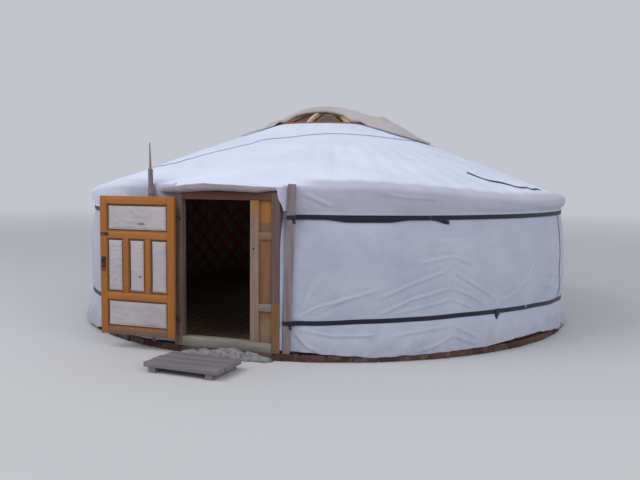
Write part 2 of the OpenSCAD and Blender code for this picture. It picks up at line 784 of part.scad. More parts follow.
module upper_band() {
    color("#1c1c28") band(upper_band_z, valance_r + seat);
}

module lower_band() {
    color("#1c1c28") band(lower_band_z, cover_low_r + seat);
}

// The loose strap is swept along its route on the roof
module loose_strap() {
    n = len(strap_route);
    function route(i) = (eave_r - strap_route[i][1]) * [sin(strap_route[i][0]), -cos(strap_route[i][0])];
    function across(i) = let (h = route(min(i + 1, n - 1)) - route(max(i - 1, 0))) [h[1], -h[0]] / norm(h);
    function corner(i, q) = let (p = route(i) + across(i) * q[0] * loose_strap_w / 2)
        [p[0], p[1], plain_out_z(norm(p)) + raised_by(norm(p), strap_route[i][0]) + seat + q[1]];
    points = [for (i = [0 : n - 1]) for (q = [[-1, 1.4], [1, 1.4], [1, 5], [-1, 5]]) corner(i, q)];
    sides = [for (i = [0 : n - 2]) for (k = [0 : 3])
        let (a = i * 4 + k, b = i * 4 + (k + 1) % 4) for (t = [[a, b, a + 4], [b, b + 4, a + 4]]) t];
    last = 4 * n - 4;
    color("#2a2a34") polyhedron(points, concat(sides, [[0, 3, 2, 1], [last, last + 1, last + 2, last + 3]]));
}

// Height of what the crown cover lies on, at a point: arches, ring and roof
ring_shoulder = crown_r + 115;
function from_door(a) = abs(a > 180 ? a - 360 : a);
function crown_base_z(p) = let (r = norm(p), a = from_door(atan2(p[0], -p[1]) + crown_turn))
    r < arch_span ? max(arch_z(r), crown_top) : r < ring_shoulder ? crown_top
    : max(plain_out_z(r) + raised_by(r, a), crown_top - (r - ring_shoulder));

// The crown cover's grid runs from the front edge back, and from left to right
function cover_edge(u) = [lookup(u, [for (i = [0 : 10]) [i / 10, cover_front[i][0]]]),
    lookup(u, [for (i = [0 : 10]) [i / 10, cover_front[i][1]]])];
function cover_far(u) = u < 0.5 ? (cover_front[0] + [30, 70]) * (1 - 2 * u) + cover_back * 2 * u
    : cover_back * (2 - 2 * u) + (cover_front[10] + [-30, 70]) * (2 * u - 1);
function bulge(p, v) = cover_bulge * min(1, v * 5)
    * exp(-pow((p[0] - bulge_x) / 205, 2)) * exp(-pow((p[1] + 180) / 330, 2));
function cover_thick(u) = crown_cover_tip_t + (crown_cover_t - crown_cover_tip_t) * smooth(min(1, u / 0.35));

module crown_cover() {
    nu = 26;
    nv = 14;
    clear = 9;
    function at(i, j, lift) =
        let (v = j / nv, p = cover_edge(i / nu) * (1 - v) + cover_far(i / nu) * v)
        [p[0], p[1], crown_base_z(p) + clear + bulge(p, v) + lift];
    low = [for (j = [0 : nv]) for (i = [0 : nu]) at(i, j, 0)];
    high = [for (j = [0 : nv]) for (i = [0 : nu]) at(i, j, cover_thick(i / nu))];
    w = nu + 1;
    size = w * (nv + 1);
    rim = concat([for (i = [0 : nu]) i], [for (j = [1 : nv]) j * w + nu],
        [for (i = [1 : nu]) nv * w + nu - i], [for (j = [1 : nv - 1]) (nv - j) * w]);
    faces_low = [for (j = [0 : nv - 1]) for (i = [0 : nu - 1])
        let (a = j * w + i) for (t = [[a, a + 1, a + w], [a + 1, a + w + 1, a + w]]) t];
    faces_high = [for (t = faces_low) [t[2] + size, t[1] + size, t[0] + size]];
    faces_rim = [for (k = [0 : len(rim) - 1]) let (a = rim[k], b = rim[(k + 1) % len(rim)])
        for (t = [[a, a + size, b], [b, a + size, b + size]]) t];
    color("#a8a0a8") rotate([0, 0, crown_turn])
        polyhedron(concat(low, high), concat(faces_low, faces_high, faces_rim));
}

brick_footing();
floor_joists();
floor_boards();
doorstep_planks();
doorstep_bearers();
door_sill();
left_jamb();
right_jamb();
door_head();
lock_post();
side_panel();
leaf_frame();
leaf_boards();
leaf_pads();
leaf_ironwork();
hinge_hooks();
lattice_section(1);  // lattice_1
lattice_section(2);  // lattice_2
lattice_section(3);  // lattice_3
lattice_section(4);  // lattice_4
lattice_section(5);  // lattice_5
door_poles();
roof_poles(1);  // roof_poles_1
roof_poles(2);  // roof_poles_2
roof_poles(3);  // roof_poles_3
roof_poles(4);  // roof_poles_4
crown_ring();
crown_arches();
crown_cover();
wall_cover(1);  // wall_cover_1
wall_cover(2);  // wall_cover_2
wall_cover(3);  // wall_cover_3
wall_cover(4);  // wall_cover_4
roof_cover(1);  // roof_cover_1
roof_cover(2);  // roof_cover_2
roof_cover(3);  // roof_cover_3
roof_cover(4);  // roof_cover_4
roof_cover_door();
roof_cover_flanks();
door_roll();
upper_band();
lower_band();
edge_batten();
edge_pole();
loose_strap();
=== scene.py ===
import math
import random

import bpy
from mathutils import Matrix, Vector, noise


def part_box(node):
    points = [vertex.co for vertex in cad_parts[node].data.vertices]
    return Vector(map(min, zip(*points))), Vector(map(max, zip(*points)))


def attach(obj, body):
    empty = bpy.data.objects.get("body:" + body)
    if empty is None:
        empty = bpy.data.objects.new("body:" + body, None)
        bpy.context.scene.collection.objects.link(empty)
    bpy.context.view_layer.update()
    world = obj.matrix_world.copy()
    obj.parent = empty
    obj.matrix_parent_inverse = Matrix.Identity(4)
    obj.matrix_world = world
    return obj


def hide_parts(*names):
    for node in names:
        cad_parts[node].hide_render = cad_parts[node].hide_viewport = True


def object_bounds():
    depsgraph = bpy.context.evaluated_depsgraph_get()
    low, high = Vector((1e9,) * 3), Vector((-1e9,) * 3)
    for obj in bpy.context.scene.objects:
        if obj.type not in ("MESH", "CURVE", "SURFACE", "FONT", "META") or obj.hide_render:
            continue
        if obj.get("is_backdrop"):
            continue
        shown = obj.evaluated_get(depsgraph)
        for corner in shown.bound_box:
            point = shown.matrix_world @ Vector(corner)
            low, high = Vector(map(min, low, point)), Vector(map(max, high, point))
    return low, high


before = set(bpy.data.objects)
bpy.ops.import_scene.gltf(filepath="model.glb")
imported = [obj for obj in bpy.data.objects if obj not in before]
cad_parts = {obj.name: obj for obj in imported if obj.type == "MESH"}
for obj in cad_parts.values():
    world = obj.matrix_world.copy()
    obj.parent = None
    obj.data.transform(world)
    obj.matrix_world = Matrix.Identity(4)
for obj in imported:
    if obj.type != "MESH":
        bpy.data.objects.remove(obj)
cad_low, cad_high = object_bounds()
scene = bpy.context.scene
random.seed(11)
noise.seed_set(11)
print("CAD box", [round(v, 3) for v in cad_low], [round(v, 3) for v in cad_high])

# %% [markdown]
# ## Camera
#
# The eye is at a standing person's height, ten metres off and a little to the right of the door.
# Its aim is built from three small turns. A matrix made of the camera's own right, up and back
# directions says this more plainly than three Euler angles do.
#
# %% Camera
TURN, EYE_DISTANCE, EYE_HEIGHT = math.radians(18.9), 10.063, 1.757
PITCH, ROLL, YAW = math.radians(4.68), math.radians(0.567), math.radians(-0.556)
FOCAL_PIXELS, PHOTO_WIDE, SENSOR_WIDE = 730, 640, 36

right = Vector((math.cos(TURN), math.sin(TURN), 0))
ahead = Vector((-math.sin(TURN), math.cos(TURN), 0))
up = Vector((0, 0, 1))
side = right * math.cos(YAW) - ahead * math.sin(YAW)
fore = right * math.sin(YAW) + ahead * math.cos(YAW)
sight = fore * math.cos(PITCH) - up * math.sin(PITCH)
head = fore * math.sin(PITCH) + up * math.cos(PITCH)
camera_x = side * math.cos(ROLL) + head * math.sin(ROLL)
camera_y = head * math.cos(ROLL) - side * math.sin(ROLL)

bpy.ops.object.camera_add()
camera = bpy.context.object
camera.data.sensor_width = SENSOR_WIDE
camera.data.lens = FOCAL_PIXELS / PHOTO_WIDE * SENSOR_WIDE
camera.data.clip_end = 200
camera.matrix_world = Matrix.Translation(-ahead * EYE_DISTANCE + up * EYE_HEIGHT) @ Matrix(
    (camera_x, camera_y, -sight)).transposed().to_4x4()
scene.camera = camera
print("camera at", [round(v, 2) for v in camera.matrix_world.translation])

# %% [markdown]
# ## Small tools for shader nodes
#
# A material is a tree of nodes, and most of the work is to make a node and feed its sockets. One
# helper does both: it takes each input either as a plain value or as the output of another node.
# The others make the few nodes that come up again and again.
#
# %% Shader tools


def shade(code, lift=1.0):
    """Screen colour code to the linear colour that shaders use."""
    channels = [int(code[i:i + 2], 16) / 255 for i in (1, 3, 5)]
    linear = [c / 12.92 if c <= 0.04045 else ((c + 0.055) / 1.055) ** 2.4 for c in channels]
    return (*[min(1.0, c * lift) for c in linear], 1)


def feed(tree, socket, value):
    """Links an input to another node's output, or sets it to a plain value."""
    if isinstance(value, bpy.types.NodeSocket):
        tree.links.new(value, socket)
    else:
        socket.default_value = value


def add_node(tree, kind, inputs=None, **settings):
    """A node with its settings and the inputs that are given."""
    made = tree.nodes.new(kind)
    for key, value in settings.items():
        setattr(made, key, value)
    for key, value in (inputs or {}).items():
        feed(tree, made.inputs[key], value)
    return made


def maths(tree, operation, a, b, clamp=False):
    """The result of a Math node."""
    return add_node(tree, "ShaderNodeMath", {0: a, 1: b}, operation=operation, use_clamp=clamp).outputs[0]


def vector_maths(tree, operation, inputs, result="Vector"):
    """The result of a Vector Math node."""
    return add_node(tree, "ShaderNodeVectorMath", inputs, operation=operation).outputs[result]


def spread(tree, value, low, high):
    """Stretches low..high to 0..1."""
    inputs = {"Value": value, "From Min": low, "From Max": high}
    return add_node(tree, "ShaderNodeMapRange", inputs).outputs["Result"]


def speckle(tree, vector, scale, detail=4.0, rough=0.6):
    """Noise on a vector, as a value."""
    inputs = {"Vector": vector, "Scale": scale, "Detail": detail, "Roughness": rough}
    return add_node(tree, "ShaderNodeTexNoise", inputs).outputs["Fac"]


def start_finish(name, roughness):
    """A new material: its tree, its shader and its object coordinates."""
    made = bpy.data.materials.new(name)
    made.use_nodes = True
    tree = made.node_tree
    shader = tree.nodes["Principled BSDF"]
    shader.inputs["Roughness"].default_value = roughness
    return made, tree, shader, add_node(tree, "ShaderNodeTexCoord").outputs["Object"]


print("shader tools ready")

# %% [markdown]
# ## Studio
#
# A pale floor and a pale sky give the soft light of an overcast evening. The floor fades into the
# sky with its distance from the tent, so no horizon shows. One large lamp high up on the left makes
# the roof brighter than the walls, whose canvas is also painted darker as shade, and a weaker one at
# the right fills the shadows. A weak, soft point light inside stands for the daylight that comes down
# through the crown.
#
# %% Floor, sky and lamps
SKY_COLOUR, SKY_STRENGTH = (0.90, 0.93, 1.0, 1), 0.60
FLOOR_SIZE, FADE_FROM, FADE_TO = 160, 7, 34
LAMPS_AIM = Vector((0, 0, 1.2))

bpy.ops.object.select_all(action="DESELECT")
bpy.ops.mesh.primitive_plane_add(size=FLOOR_SIZE, location=(0, 0, -0.001))
floor = bpy.context.object
floor.name = "studio_floor"
floor_paint, tree, near, place = start_finish("studio_floor", 0.95)
near.inputs["Base Color"].default_value = (0.56, 0.56, 0.57, 1)
far = add_node(tree, "ShaderNodeEmission", {"Color": SKY_COLOUR, "Strength": SKY_STRENGTH})
fade = spread(tree, vector_maths(tree, "LENGTH", {0: place}, "Value"), FADE_FROM, FADE_TO)
both = add_node(tree, "ShaderNodeMixShader", {0: fade, 1: near.outputs[0], 2: far.outputs[0]})
tree.links.new(both.outputs[0], tree.nodes["Material Output"].inputs["Surface"])
floor.data.materials.append(floor_paint)
floor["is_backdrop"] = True

sky = bpy.data.worlds.new("studio_sky")
sky.use_nodes = True
sky_light = sky.node_tree.nodes["Background"]
sky_light.inputs["Color"].default_value = SKY_COLOUR
sky_light.inputs["Strength"].default_value = SKY_STRENGTH
scene.world = sky
scene.view_settings.view_transform = "Standard"

for name, spot, size, watts in [("high_lamp", (-7, -9, 11.5), 9, 850), ("side_lamp", (11, -10, 7), 8, 590)]:
    bpy.ops.object.light_add(type="AREA", location=spot)
    lamp = bpy.context.object
    lamp.name, lamp.data.size, lamp.data.energy = name, size, watts
    lamp.rotation_euler = (LAMPS_AIM - Vector(spot)).to_track_quat("-Z", "Y").to_euler()

bpy.ops.object.light_add(type="POINT", radius=0.4, location=(0, 0, 1.9))
inside_light = bpy.context.object
inside_light.name, inside_light.data.energy = "daylight_inside", 6

# %% [markdown]
# ## Shared effects
#
# Cotton canvas shows a weave up close and faint cloudy soiling from afar. Wood shows long streaks
# along its grain. Paint chips off in patches. Dust and mud climb up from the ground, so that
# effect reads the height of the surface, which object coordinates give because every piece stands
# in the frame's own metres. Each effect is a node group, so its noise is laid out once, and every
# material that uses it only gives its own numbers.
#
# %% Weave, grain, chips, mud and zones


def new_effect(name, numbers, build):
    """A node group with a vector and some numbers in. What build returns comes out."""
    tree = bpy.data.node_groups.new(name, "ShaderNodeTree")
    tree.interface.new_socket("Vector", in_out="INPUT", socket_type="NodeSocketVector")
    for label, value in numbers.items():
        tree.interface.new_socket(label, in_out="INPUT", socket_type="NodeSocketFloat").default_value = value
    entry = tree.nodes.new("NodeGroupInput")
    results = build(tree, entry.outputs["Vector"], *[entry.outputs[label] for label in numbers])
    for label in results:
        tree.interface.new_socket(label, in_out="OUTPUT", socket_type="NodeSocketFloat")
    add_node(tree, "NodeGroupOutput", results)
    return tree


def weave_values(tree, vector, threads):
    """Threads along three axes over a fine crumple, and broad clouds."""
    waves = [add_node(tree, "ShaderNodeTexWave", {"Vector": vector, "Scale": threads, "Distortion": 0.6},
                      bands_direction=axis).outputs["Fac"] for axis in "XYZ"]
    woven = maths(tree, "ADD", maths(tree, "ADD", waves[0], waves[1]), waves[2])
    crumple = speckle(tree, vector, 38.0, 5.0, 0.62)
    return {"Height": maths(tree, "ADD", maths(tree, "MULTIPLY", woven, 0.16), crumple),
            "Cloud": spread(tree, speckle(tree, vector, 1.7, 7.0, 0.62), 0.36, 0.68)}


def grain_values(tree, vector, fineness):
    """Streaks of light and dark, and the height of the fibres in them."""
    streak = speckle(tree, vector, fineness, 8.0, 0.68)
    fibre = speckle(tree, vector, maths(tree, "MULTIPLY", fineness, 6.0), 3.0, 0.7)
    return {"Streak": spread(tree, streak, 0.30, 0.70),
            "Height": maths(tree, "ADD", streak, maths(tree, "MULTIPLY", fibre, 0.6))}


def worn_values(tree, vector, scale, amount):
    """Patches with hard edges. The more is worn, the lower the noise that still counts."""
    edge_low = maths(tree, "SUBTRACT", 0.78, maths(tree, "MULTIPLY", amount, 0.5))
    over = maths(tree, "SUBTRACT", speckle(tree, vector, scale, 9.0, 0.66), edge_low)
    return {"Mask": maths(tree, "MULTIPLY", over, 9.0, clamp=True)}


def height_of(tree, vector):
    return add_node(tree, "ShaderNodeSeparateXYZ", {"Vector": vector}).outputs["Z"]


def mud_values(tree, vector, reach):
    """Splashes that thin out with height."""
    splash = maths(tree, "MULTIPLY", speckle(tree, vector, 5.0, 8.0, 0.65), 1.6)
    share = maths(tree, "DIVIDE", height_of(tree, vector), reach)
    return {"Mask": maths(tree, "SUBTRACT", splash, share, clamp=True)}


def zone_values(tree, vector, low, high):
    """One between two heights, nought elsewhere, with ragged edges."""
    ragged = maths(tree, "SUBTRACT", speckle(tree, vector, 14.0, 6.0), 0.5)
    level = maths(tree, "ADD", height_of(tree, vector), maths(tree, "MULTIPLY", ragged, 0.16))
    above = maths(tree, "MULTIPLY", maths(tree, "SUBTRACT", level, low), 40.0, clamp=True)
    below = maths(tree, "MULTIPLY", maths(tree, "SUBTRACT", high, level), 40.0, clamp=True)
    return {"Mask": maths(tree, "MULTIPLY", above, below)}


weave = new_effect("canvas weave", {"Threads": 420.0}, weave_values)
grain = new_effect("wood grain", {"Fineness": 9.0}, grain_values)
chips = new_effect("worn patches", {"Scale": 7.0, "Amount": 0.5}, worn_values)
mud = new_effect("mud from the ground", {"Reach": 0.35}, mud_values)
zone = new_effect("zone of height", {"Low": 0.0, "High": 1.0}, zone_values)
print("effects", [t.name for t in (weave, grain, chips, mud, zone)])

# %% [markdown]
# ## Finishes
#
# Two recipes cover nearly every surface. One is cloth: a ground colour, clouds of a second colour,
# mud near the ground and a bump from the weave. The other is wood: two streak colours, and over
# them a coat of paint that the worn patches break through.
#
# %% Cloth and wood recipes
EARTH, MUD_STRENGTH, STAIN = "#6b6055", 0.75, "#3B3634"
STRETCH = {"X": (0.06, 1, 1), "Y": (1, 0.06, 1), "Z": (1, 1, 0.06)}


def effect(tree, group, vector, **values):
    """The outputs of a shared effect that is placed in a material."""
    return add_node(tree, "ShaderNodeGroup", {"Vector": vector, **values}, node_tree=group).outputs


def blend_colour(tree, mask, under, over, strength=1.0):
    """Mixes two colours by a mask. Each is a socket or a colour."""
    if strength != 1.0:
        mask = maths(tree, "MULTIPLY", mask, strength)
    return add_node(tree, "ShaderNodeMix", {0: mask, 6: under, 7: over}, data_type="RGBA").outputs[2]


def bump_from(tree, height, strength, depth, under=None):
    """The normal of a Bump node, which may lie over another one."""
    inputs = {"Height": height, "Strength": strength, "Distance": depth}
    if under is not None:
        inputs["Normal"] = under
    return add_node(tree, "ShaderNodeBump", inputs).outputs["Normal"]


def stain_mask(tree, place, spot, size):
    """A ragged stain round a spot."""
    away = vector_maths(tree, "SUBTRACT", {0: place, 1: spot})
    span = vector_maths(tree, "LENGTH", {0: vector_maths(tree, "DIVIDE", {0: away, 1: size})}, "Value")
    ragged = maths(tree, "MULTIPLY", speckle(tree, place, 60.0, 4.0), 1.3)
    return maths(tree, "SUBTRACT", maths(tree, "ADD", ragged, 0.45), span, clamp=True)


def cloth_finish(name, ground, cloud, soil, reach, threads=420.0, depth=0.004, clouding=0.7,
                 spots=(), hanging=(), rumple=0.0):
    """Woven or felted cloth with clouds of wear, mud low down and stains.

    Where the cloth hangs down it may get two darker tones, painted shade read from the hanging attribute, and rumple
    adds broad soft creases."""
    made, tree, shader, place = start_finish(name, 0.9)
    cloth = effect(tree, weave, place, Threads=threads)
    dirt = effect(tree, mud, place, Reach=reach)
    colour = blend_colour(tree, cloth["Cloud"], shade(ground), shade(cloud), clouding)
    if hanging:
        share = add_node(tree, "ShaderNodeAttribute", attribute_name="hanging").outputs["Fac"]
        shaded_tone = blend_colour(tree, cloth["Cloud"], shade(hanging[0]), shade(hanging[1]), clouding)
        colour = blend_colour(tree, share, colour, shaded_tone)
    colour = blend_colour(tree, dirt["Mask"], colour, shade(soil), MUD_STRENGTH)
    for spot, size in spots:
        colour = blend_colour(tree, stain_mask(tree, place, spot, size), colour, shade(STAIN), 0.9)
    skin = bump_from(tree, cloth["Height"], 0.5, depth)
    if rumple:
        skin = bump_from(tree, speckle(tree, place, 8.0, 5.0, 0.55), 0.7, rumple, skin)
    shader.inputs["Sheen Weight"].default_value = 0.15
    feed(tree, shader.inputs["Base Color"], colour)
    feed(tree, shader.inputs["Normal"], skin)
    return made


def wood_finish(name, light, dark, along="Z", paint=None, chipped=0.45, chip_scale=7.0, fineness=34.0,
                muddy=0.6, zones=()):
    """Bare or painted wood whose grain runs along one axis, with other colours in zones of height."""
    made, tree, shader, place = start_finish(name, 0.75)
    drawn = add_node(tree, "ShaderNodeMapping", {"Vector": place, "Scale": STRETCH[along]}).outputs[0]
    fibres = effect(tree, grain, drawn, Fineness=fineness)
    colour = blend_colour(tree, fibres["Streak"], shade(dark), shade(light))
    if paint:
        coat = blend_colour(tree, fibres["Streak"], shade(paint, 0.8), shade(paint, 1.12))
        bare = effect(tree, chips, place, Scale=chip_scale, Amount=chipped)
        colour = blend_colour(tree, bare["Mask"], coat, colour)
    for low, high, code, strength in zones:
        here = effect(tree, zone, place, Low=low, High=high)
        other = blend_colour(tree, fibres["Streak"], shade(code, 0.72), shade(code, 1.15))
        colour = blend_colour(tree, here["Mask"], colour, other, strength)
    dirt = effect(tree, mud, place, Reach=0.30)
    feed(tree, shader.inputs["Base Color"], blend_colour(tree, dirt["Mask"], colour, shade(EARTH), muddy))
    feed(tree, shader.inputs["Normal"], bump_from(tree, fibres["Height"], 0.45, 0.0025))
    return made


print("recipes ready")

# %% Canvas, felt and webbing
# The hanging tones are painted shade: darker colours for the down-facing eave and valance.
ROOF_CANVAS = cloth_finish("roof_canvas", "#DDE3F5", "#C9D1E9", "#9A938C", 0.2, clouding=0.65,
                           hanging=("#B5B4C6", "#A2A2B3"), rumple=0.016)
# The wall's canvas is the same cotton as the roof's, painted darker as shade for the walls' lower light.
SHADED_WALL_CANVAS = cloth_finish("wall_canvas", "#B3B7C9", "#9DA1B6", "#8A8890", 0.30, clouding=0.65, rumple=0.018)
# The tape is darker than the roof canvas: a real hem, partly painted shade for the shadow along the top canvas's
# edge.
TAPE_AND_EDGE_SHADE = cloth_finish("hem_tape_and_shade", "#A9B1CB", "#98A0BC", EARTH, 0.2, 260.0, 0.002)
CROWN_FELT = cloth_finish("crown_felt", "#C2BBBC", "#A49C9E", EARTH, 0.2, 160.0, 0.008)
ROLL_FELT = cloth_finish("roll_felt", "#9D9095", "#7E7277", EARTH, 0.2, 200.0, 0.008)
LINER_FELT = cloth_finish("liner_felt", "#6E6862", "#565049", "#3f3832", 0.3, 120.0, 0.008)
PAD_CANVAS = cloth_finish("pad_canvas", "#B6AFB2", "#9A9397", "#8d857c", 0.25, 520.0, spots=[
    ((-0.893, -3.19, 1.299), (0.050, 0.2, 0.016)), ((-0.918, -3.19, 0.759), (0.026, 0.2, 0.018))])
WEBBING = cloth_finish("dark_webbing", "#15162A", "#0D0E1D", "#242226", 0.12, 260.0, 0.003)
STRAP = cloth_finish("roof_strap", "#3A3C48", "#2A2B35", "#3a3632", 0.2, 260.0, 0.003)
print("cloth", PAD_CANVAS.name, "has", len(PAD_CANVAS.node_tree.nodes), "nodes")

# %% Wood finishes
LEAF_UPRIGHT = wood_finish("leaf_paint_upright", "#8a6a4c", "#5a4030", "Z", "#9C5E1C", 0.30, 6.0)
LEAF_ACROSS = wood_finish("leaf_paint_across", "#8a6a4c", "#5a4030", "X", "#A5672C", 0.32, 6.0, zones=[
    (0.0, 0.24, "#6C5342", 0.85)])
# The beads' paint is darker than the leaf's: painted shade for the recess round each pad.
SHADED_BEADING = wood_finish("pane_beading_shaded", "#7A5638", "#4A3222", "Z", "#74481F", 0.30, 9.0)
# The head's paint and wood are painted darker as the shadow that the felt roll casts on it.
SHADED_HEAD_PAINT = wood_finish("head_paint_shaded", "#6A5243", "#43322A", "X", "#5E3A2B", 0.42, 5.0)
SIDE_PAINT = wood_finish("side_panel_paint", "#94704a", "#5f4530", "Z", "#976229", 0.45, 4.0, zones=[
    (0.38, 1.17, "#6C5142", 0.62), (1.20, 1.35, "#6E5446", 0.75), (0.0, 0.40, "#746A62", 0.6)])
JAMB_PAINT = wood_finish("right_jamb_paint", "#7E6A5C", "#54463E", "Z", "#79542C", 0.48, 3.0, zones=[
    (0.55, 1.70, "#5F4D49", 0.92)])
UPPER_RAIL = wood_finish("worn_upper_rail", "#8a6a54", "#5c463a", "X", "#80593C", 0.60, 6.0)
DARK_WOOD = wood_finish("dark_jamb", "#7A655C", "#4B3D3C", "Z", fineness=26.0)
POST_WOOD = wood_finish("pale_post", "#967F70", "#6F5B4C", "Z", fineness=30.0, zones=[(1.42, 1.60, "#A0682E", 0.75)])
BARE_ACROSS = wood_finish("bare_rail", "#8A807D", "#655D5B", "X", fineness=26.0)
SILL_WOOD = wood_finish("weathered_sill", "#99958C", "#6F6B64", "X", fineness=22.0)
STEP_WOOD = wood_finish("weathered_planks", "#878287", "#605C63", "X", fineness=26.0, muddy=0.35)
STAKE_WOOD = wood_finish("stake_wood", "#857A73", "#5D534E", "Z", fineness=26.0)
BATTEN_WOOD = wood_finish("batten_wood", "#8E7F82", "#645759", "Z", fineness=26.0)
FLOOR_WOOD = wood_finish("floor_wood", "#5E4432", "#38271C", "Y", fineness=18.0)
LATH_PAINT = wood_finish("lath_paint", "#7a5a40", "#4a3322", "Z", "#7E3A26", 0.30, 9.0)
POLE_PAINT = wood_finish("pole_paint", "#8a6a4c", "#5a4030", "Y", "#A8521F", 0.25, 7.0)
ARCH_WOOD = wood_finish("bare_arch", "#DCC4A4", "#B4967A", "X", fineness=26.0)
CROWN_PAINT = wood_finish("crown_paint", "#B58C68", "#7A5844", "X", "#A8694A", 0.45, 5.0)
print("painted and bare woods ready")

# %% [markdown]
# ## Iron, brick, plaster and mortar
#
# Old door iron is dark with rust in its low spots. The bricks under the wall are dull red with
# dusty faces. Plaster and mortar are one recipe of coarse lumps, pale and dark.
#
# %% Iron, brick, plaster and mortar finishes
IRON, tree, shader, place = start_finish("door_iron", 0.55)
rust = effect(tree, chips, place, Scale=22.0, Amount=0.62)["Mask"]
feed(tree, shader.inputs["Base Color"], blend_colour(tree, rust, shade("#3b3734"), shade("#6a4630")))
feed(tree, shader.inputs["Metallic"], maths(tree, "SUBTRACT", 0.85, maths(tree, "MULTIPLY", rust, 0.7)))
feed(tree, shader.inputs["Normal"], bump_from(tree, rust, 0.3, 0.0015))

BRICK, tree, shader, place = start_finish("old_brick", 0.95)
dust = effect(tree, chips, place, Scale=9.0, Amount=0.55)["Mask"]
fired = spread(tree, speckle(tree, place, 4.0, 3.0), 0.35, 0.65)
brick_colour = blend_colour(tree, fired, shade("#3E2622"), shade("#5E3C34"))
feed(tree, shader.inputs["Base Color"], blend_colour(tree, dust, brick_colour, shade("#6A635E"), 0.6))
feed(tree, shader.inputs["Normal"], bump_from(tree, speckle(tree, place, 60.0, 6.0, 0.7), 0.8, 0.006))


def lumpy_finish(name, dark, light, scale, depth):
    """A coarse, lumpy paste that has set."""
    made, tree, shader, place = start_finish(name, 0.95)
    lumps = speckle(tree, place, scale, 8.0, 0.7)
    colour = blend_colour(tree, spread(tree, lumps, 0.35, 0.65), shade(dark), shade(light))
    feed(tree, shader.inputs["Base Color"], colour)
    feed(tree, shader.inputs["Normal"], bump_from(tree, lumps, 0.8, depth))
    return made


PLASTER = lumpy_finish("rough_plaster", "#69686A", "#979598", 24.0, 0.008)
MORTAR = lumpy_finish("old_mortar", "#3A3230", "#5C524E", 40.0, 0.006)
print("finishes", len(bpy.data.materials))

# %% [markdown]
# ## Modelling tools
#
# Soft covers are grids: a flat grid is added, and each of its points is moved to its place on the
# tent. Timber starts as a cube at the size of its CAD solid, gets cuts along its length, rounded
# edges and a slight warp. Both ways keep the real sizes and give a mesh that is easy to follow.
#
# %% Grid and timber tools


def pick(obj):
    """Makes obj the only selected object."""
    bpy.ops.object.select_all(action="DESELECT")
    obj.select_set(True)
    bpy.context.view_layer.objects.active = obj


def added(operator, **settings):
    """What an operator adds. Operators act on all that is selected, so the rest is deselected first."""
    bpy.ops.object.select_all(action="DESELECT")
    operator(**settings)
    return bpy.context.object


def add_modifier(obj, kind, **settings):
    """Adds a modifier with its settings and applies it."""
    pick(obj)
    made = obj.modifiers.new(kind, kind)
    for key, value in settings.items():
        setattr(made, key, value)
    bpy.ops.object.modifier_apply(modifier=made.name)


def settle(obj):
    """Writes an object's place, turn and size into its mesh."""
    pick(obj)
    bpy.ops.object.transform_apply(location=True, rotation=True, scale=True)


def shade_round(obj, angle=None):
    """Shades a piece smooth, all over or only where its faces meet at less than an angle."""
    pick(obj)
    if angle:
        bpy.ops.object.shade_smooth_by_angle(angle=angle)
    else:
        bpy.ops.object.shade_smooth()


def keep(obj, name, finish, slot, body="tent", stands_for=()):
    """Names a finished piece, gives it its finish, and joins it to its body."""
    obj.name = name
    settle(obj)
    obj.data.materials.clear()
    obj.data.materials.append(finish)
    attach(obj, body)
    if stands_for:
        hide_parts(*stands_for)
    return obj


def grid_piece(across, along, place, thick=0.0, offset=0):
    """A grid whose point (u, v), each from 0 to 1, goes to place(u, v), thickened if asked."""
    obj = added(bpy.ops.mesh.primitive_grid_add, x_subdivisions=across, y_subdivisions=along, size=1)
    for vertex in obj.data.vertices:
        vertex.co = place(vertex.co.x + 0.5, vertex.co.y + 0.5)
    bpy.ops.object.shade_smooth()
    if thick:
        add_modifier(obj, "SOLIDIFY", thickness=thick, offset=offset)
    return obj


def box_piece(low, high):
    """A cube between two corners."""
    obj = added(bpy.ops.mesh.primitive_cube_add, size=1, location=(Vector(low) + Vector(high)) / 2)
    obj.dimensions = Vector(high) - Vector(low)
    settle(obj)
    return obj


def long_cuts(obj, axis, cuts):
    """Cuts a box or a cylinder into short lengths along one axis."""
    pick(obj)
    bpy.ops.object.mode_set(mode="EDIT")
    bpy.ops.mesh.select_mode(type="EDGE")
    bpy.ops.mesh.select_all(action="DESELECT")
    bpy.ops.object.mode_set(mode="OBJECT")
    for edge in obj.data.edges:
        a, b = (obj.data.vertices[i].co for i in edge.vertices)
        edge.select = abs((a - b).normalized()[axis]) > 0.9
    bpy.ops.object.mode_set(mode="EDIT")
    bpy.ops.mesh.subdivide(number_cuts=cuts)
    bpy.ops.object.mode_set(mode="OBJECT")


def warp(obj, amount, scale, inside=(1, 1, 1)):
    """Moves each point a little by smooth noise, less along an axis that has a small share."""
    for vertex in obj.data.vertices:
        push = noise.noise_vector(vertex.co * scale) * amount
        vertex.co += Vector([p * k for p, k in zip(push, inside)])


def ease_edges(obj, width):
    """Rounds a timber's or a brick's sharp edges."""
    add_modifier(obj, "BEVEL", width=width, segments=2, limit_method="ANGLE", angle_limit=0.9)


def timber(low, high, bevel=0.004, amount=0.0012, pitch=0.11):
    """A squared timber with eased edges and slightly uneven faces."""
    obj = box_piece(low, high)
    size = Vector(high) - Vector(low)
    axis = max(range(3), key=lambda i: size[i])
    long_cuts(obj, axis, max(1, int(size[axis] / pitch)))
    warp(obj, amount, 7.0)
    ease_edges(obj, bevel)
    shade_round(obj, 0.6)
    return obj


def bore(obj, spot, radius, sides):
    """Bores a round hole through a timber from front to back."""
    drill = added(bpy.ops.mesh.primitive_cylinder_add, vertices=sides, radius=radius, depth=0.08,
                  location=spot, rotation=(math.pi / 2, 0, 0))
    add_modifier(obj, "BOOLEAN", operation="DIFFERENCE", object=drill)
    bpy.data.objects.remove(drill)


def join(parts):
    """Joins pieces of one kind into the first of them."""
    pick(parts[0])
    for part in parts:
        part.select_set(True)
    bpy.ops.object.join()
    return parts[0]


print("modelling tools ready")

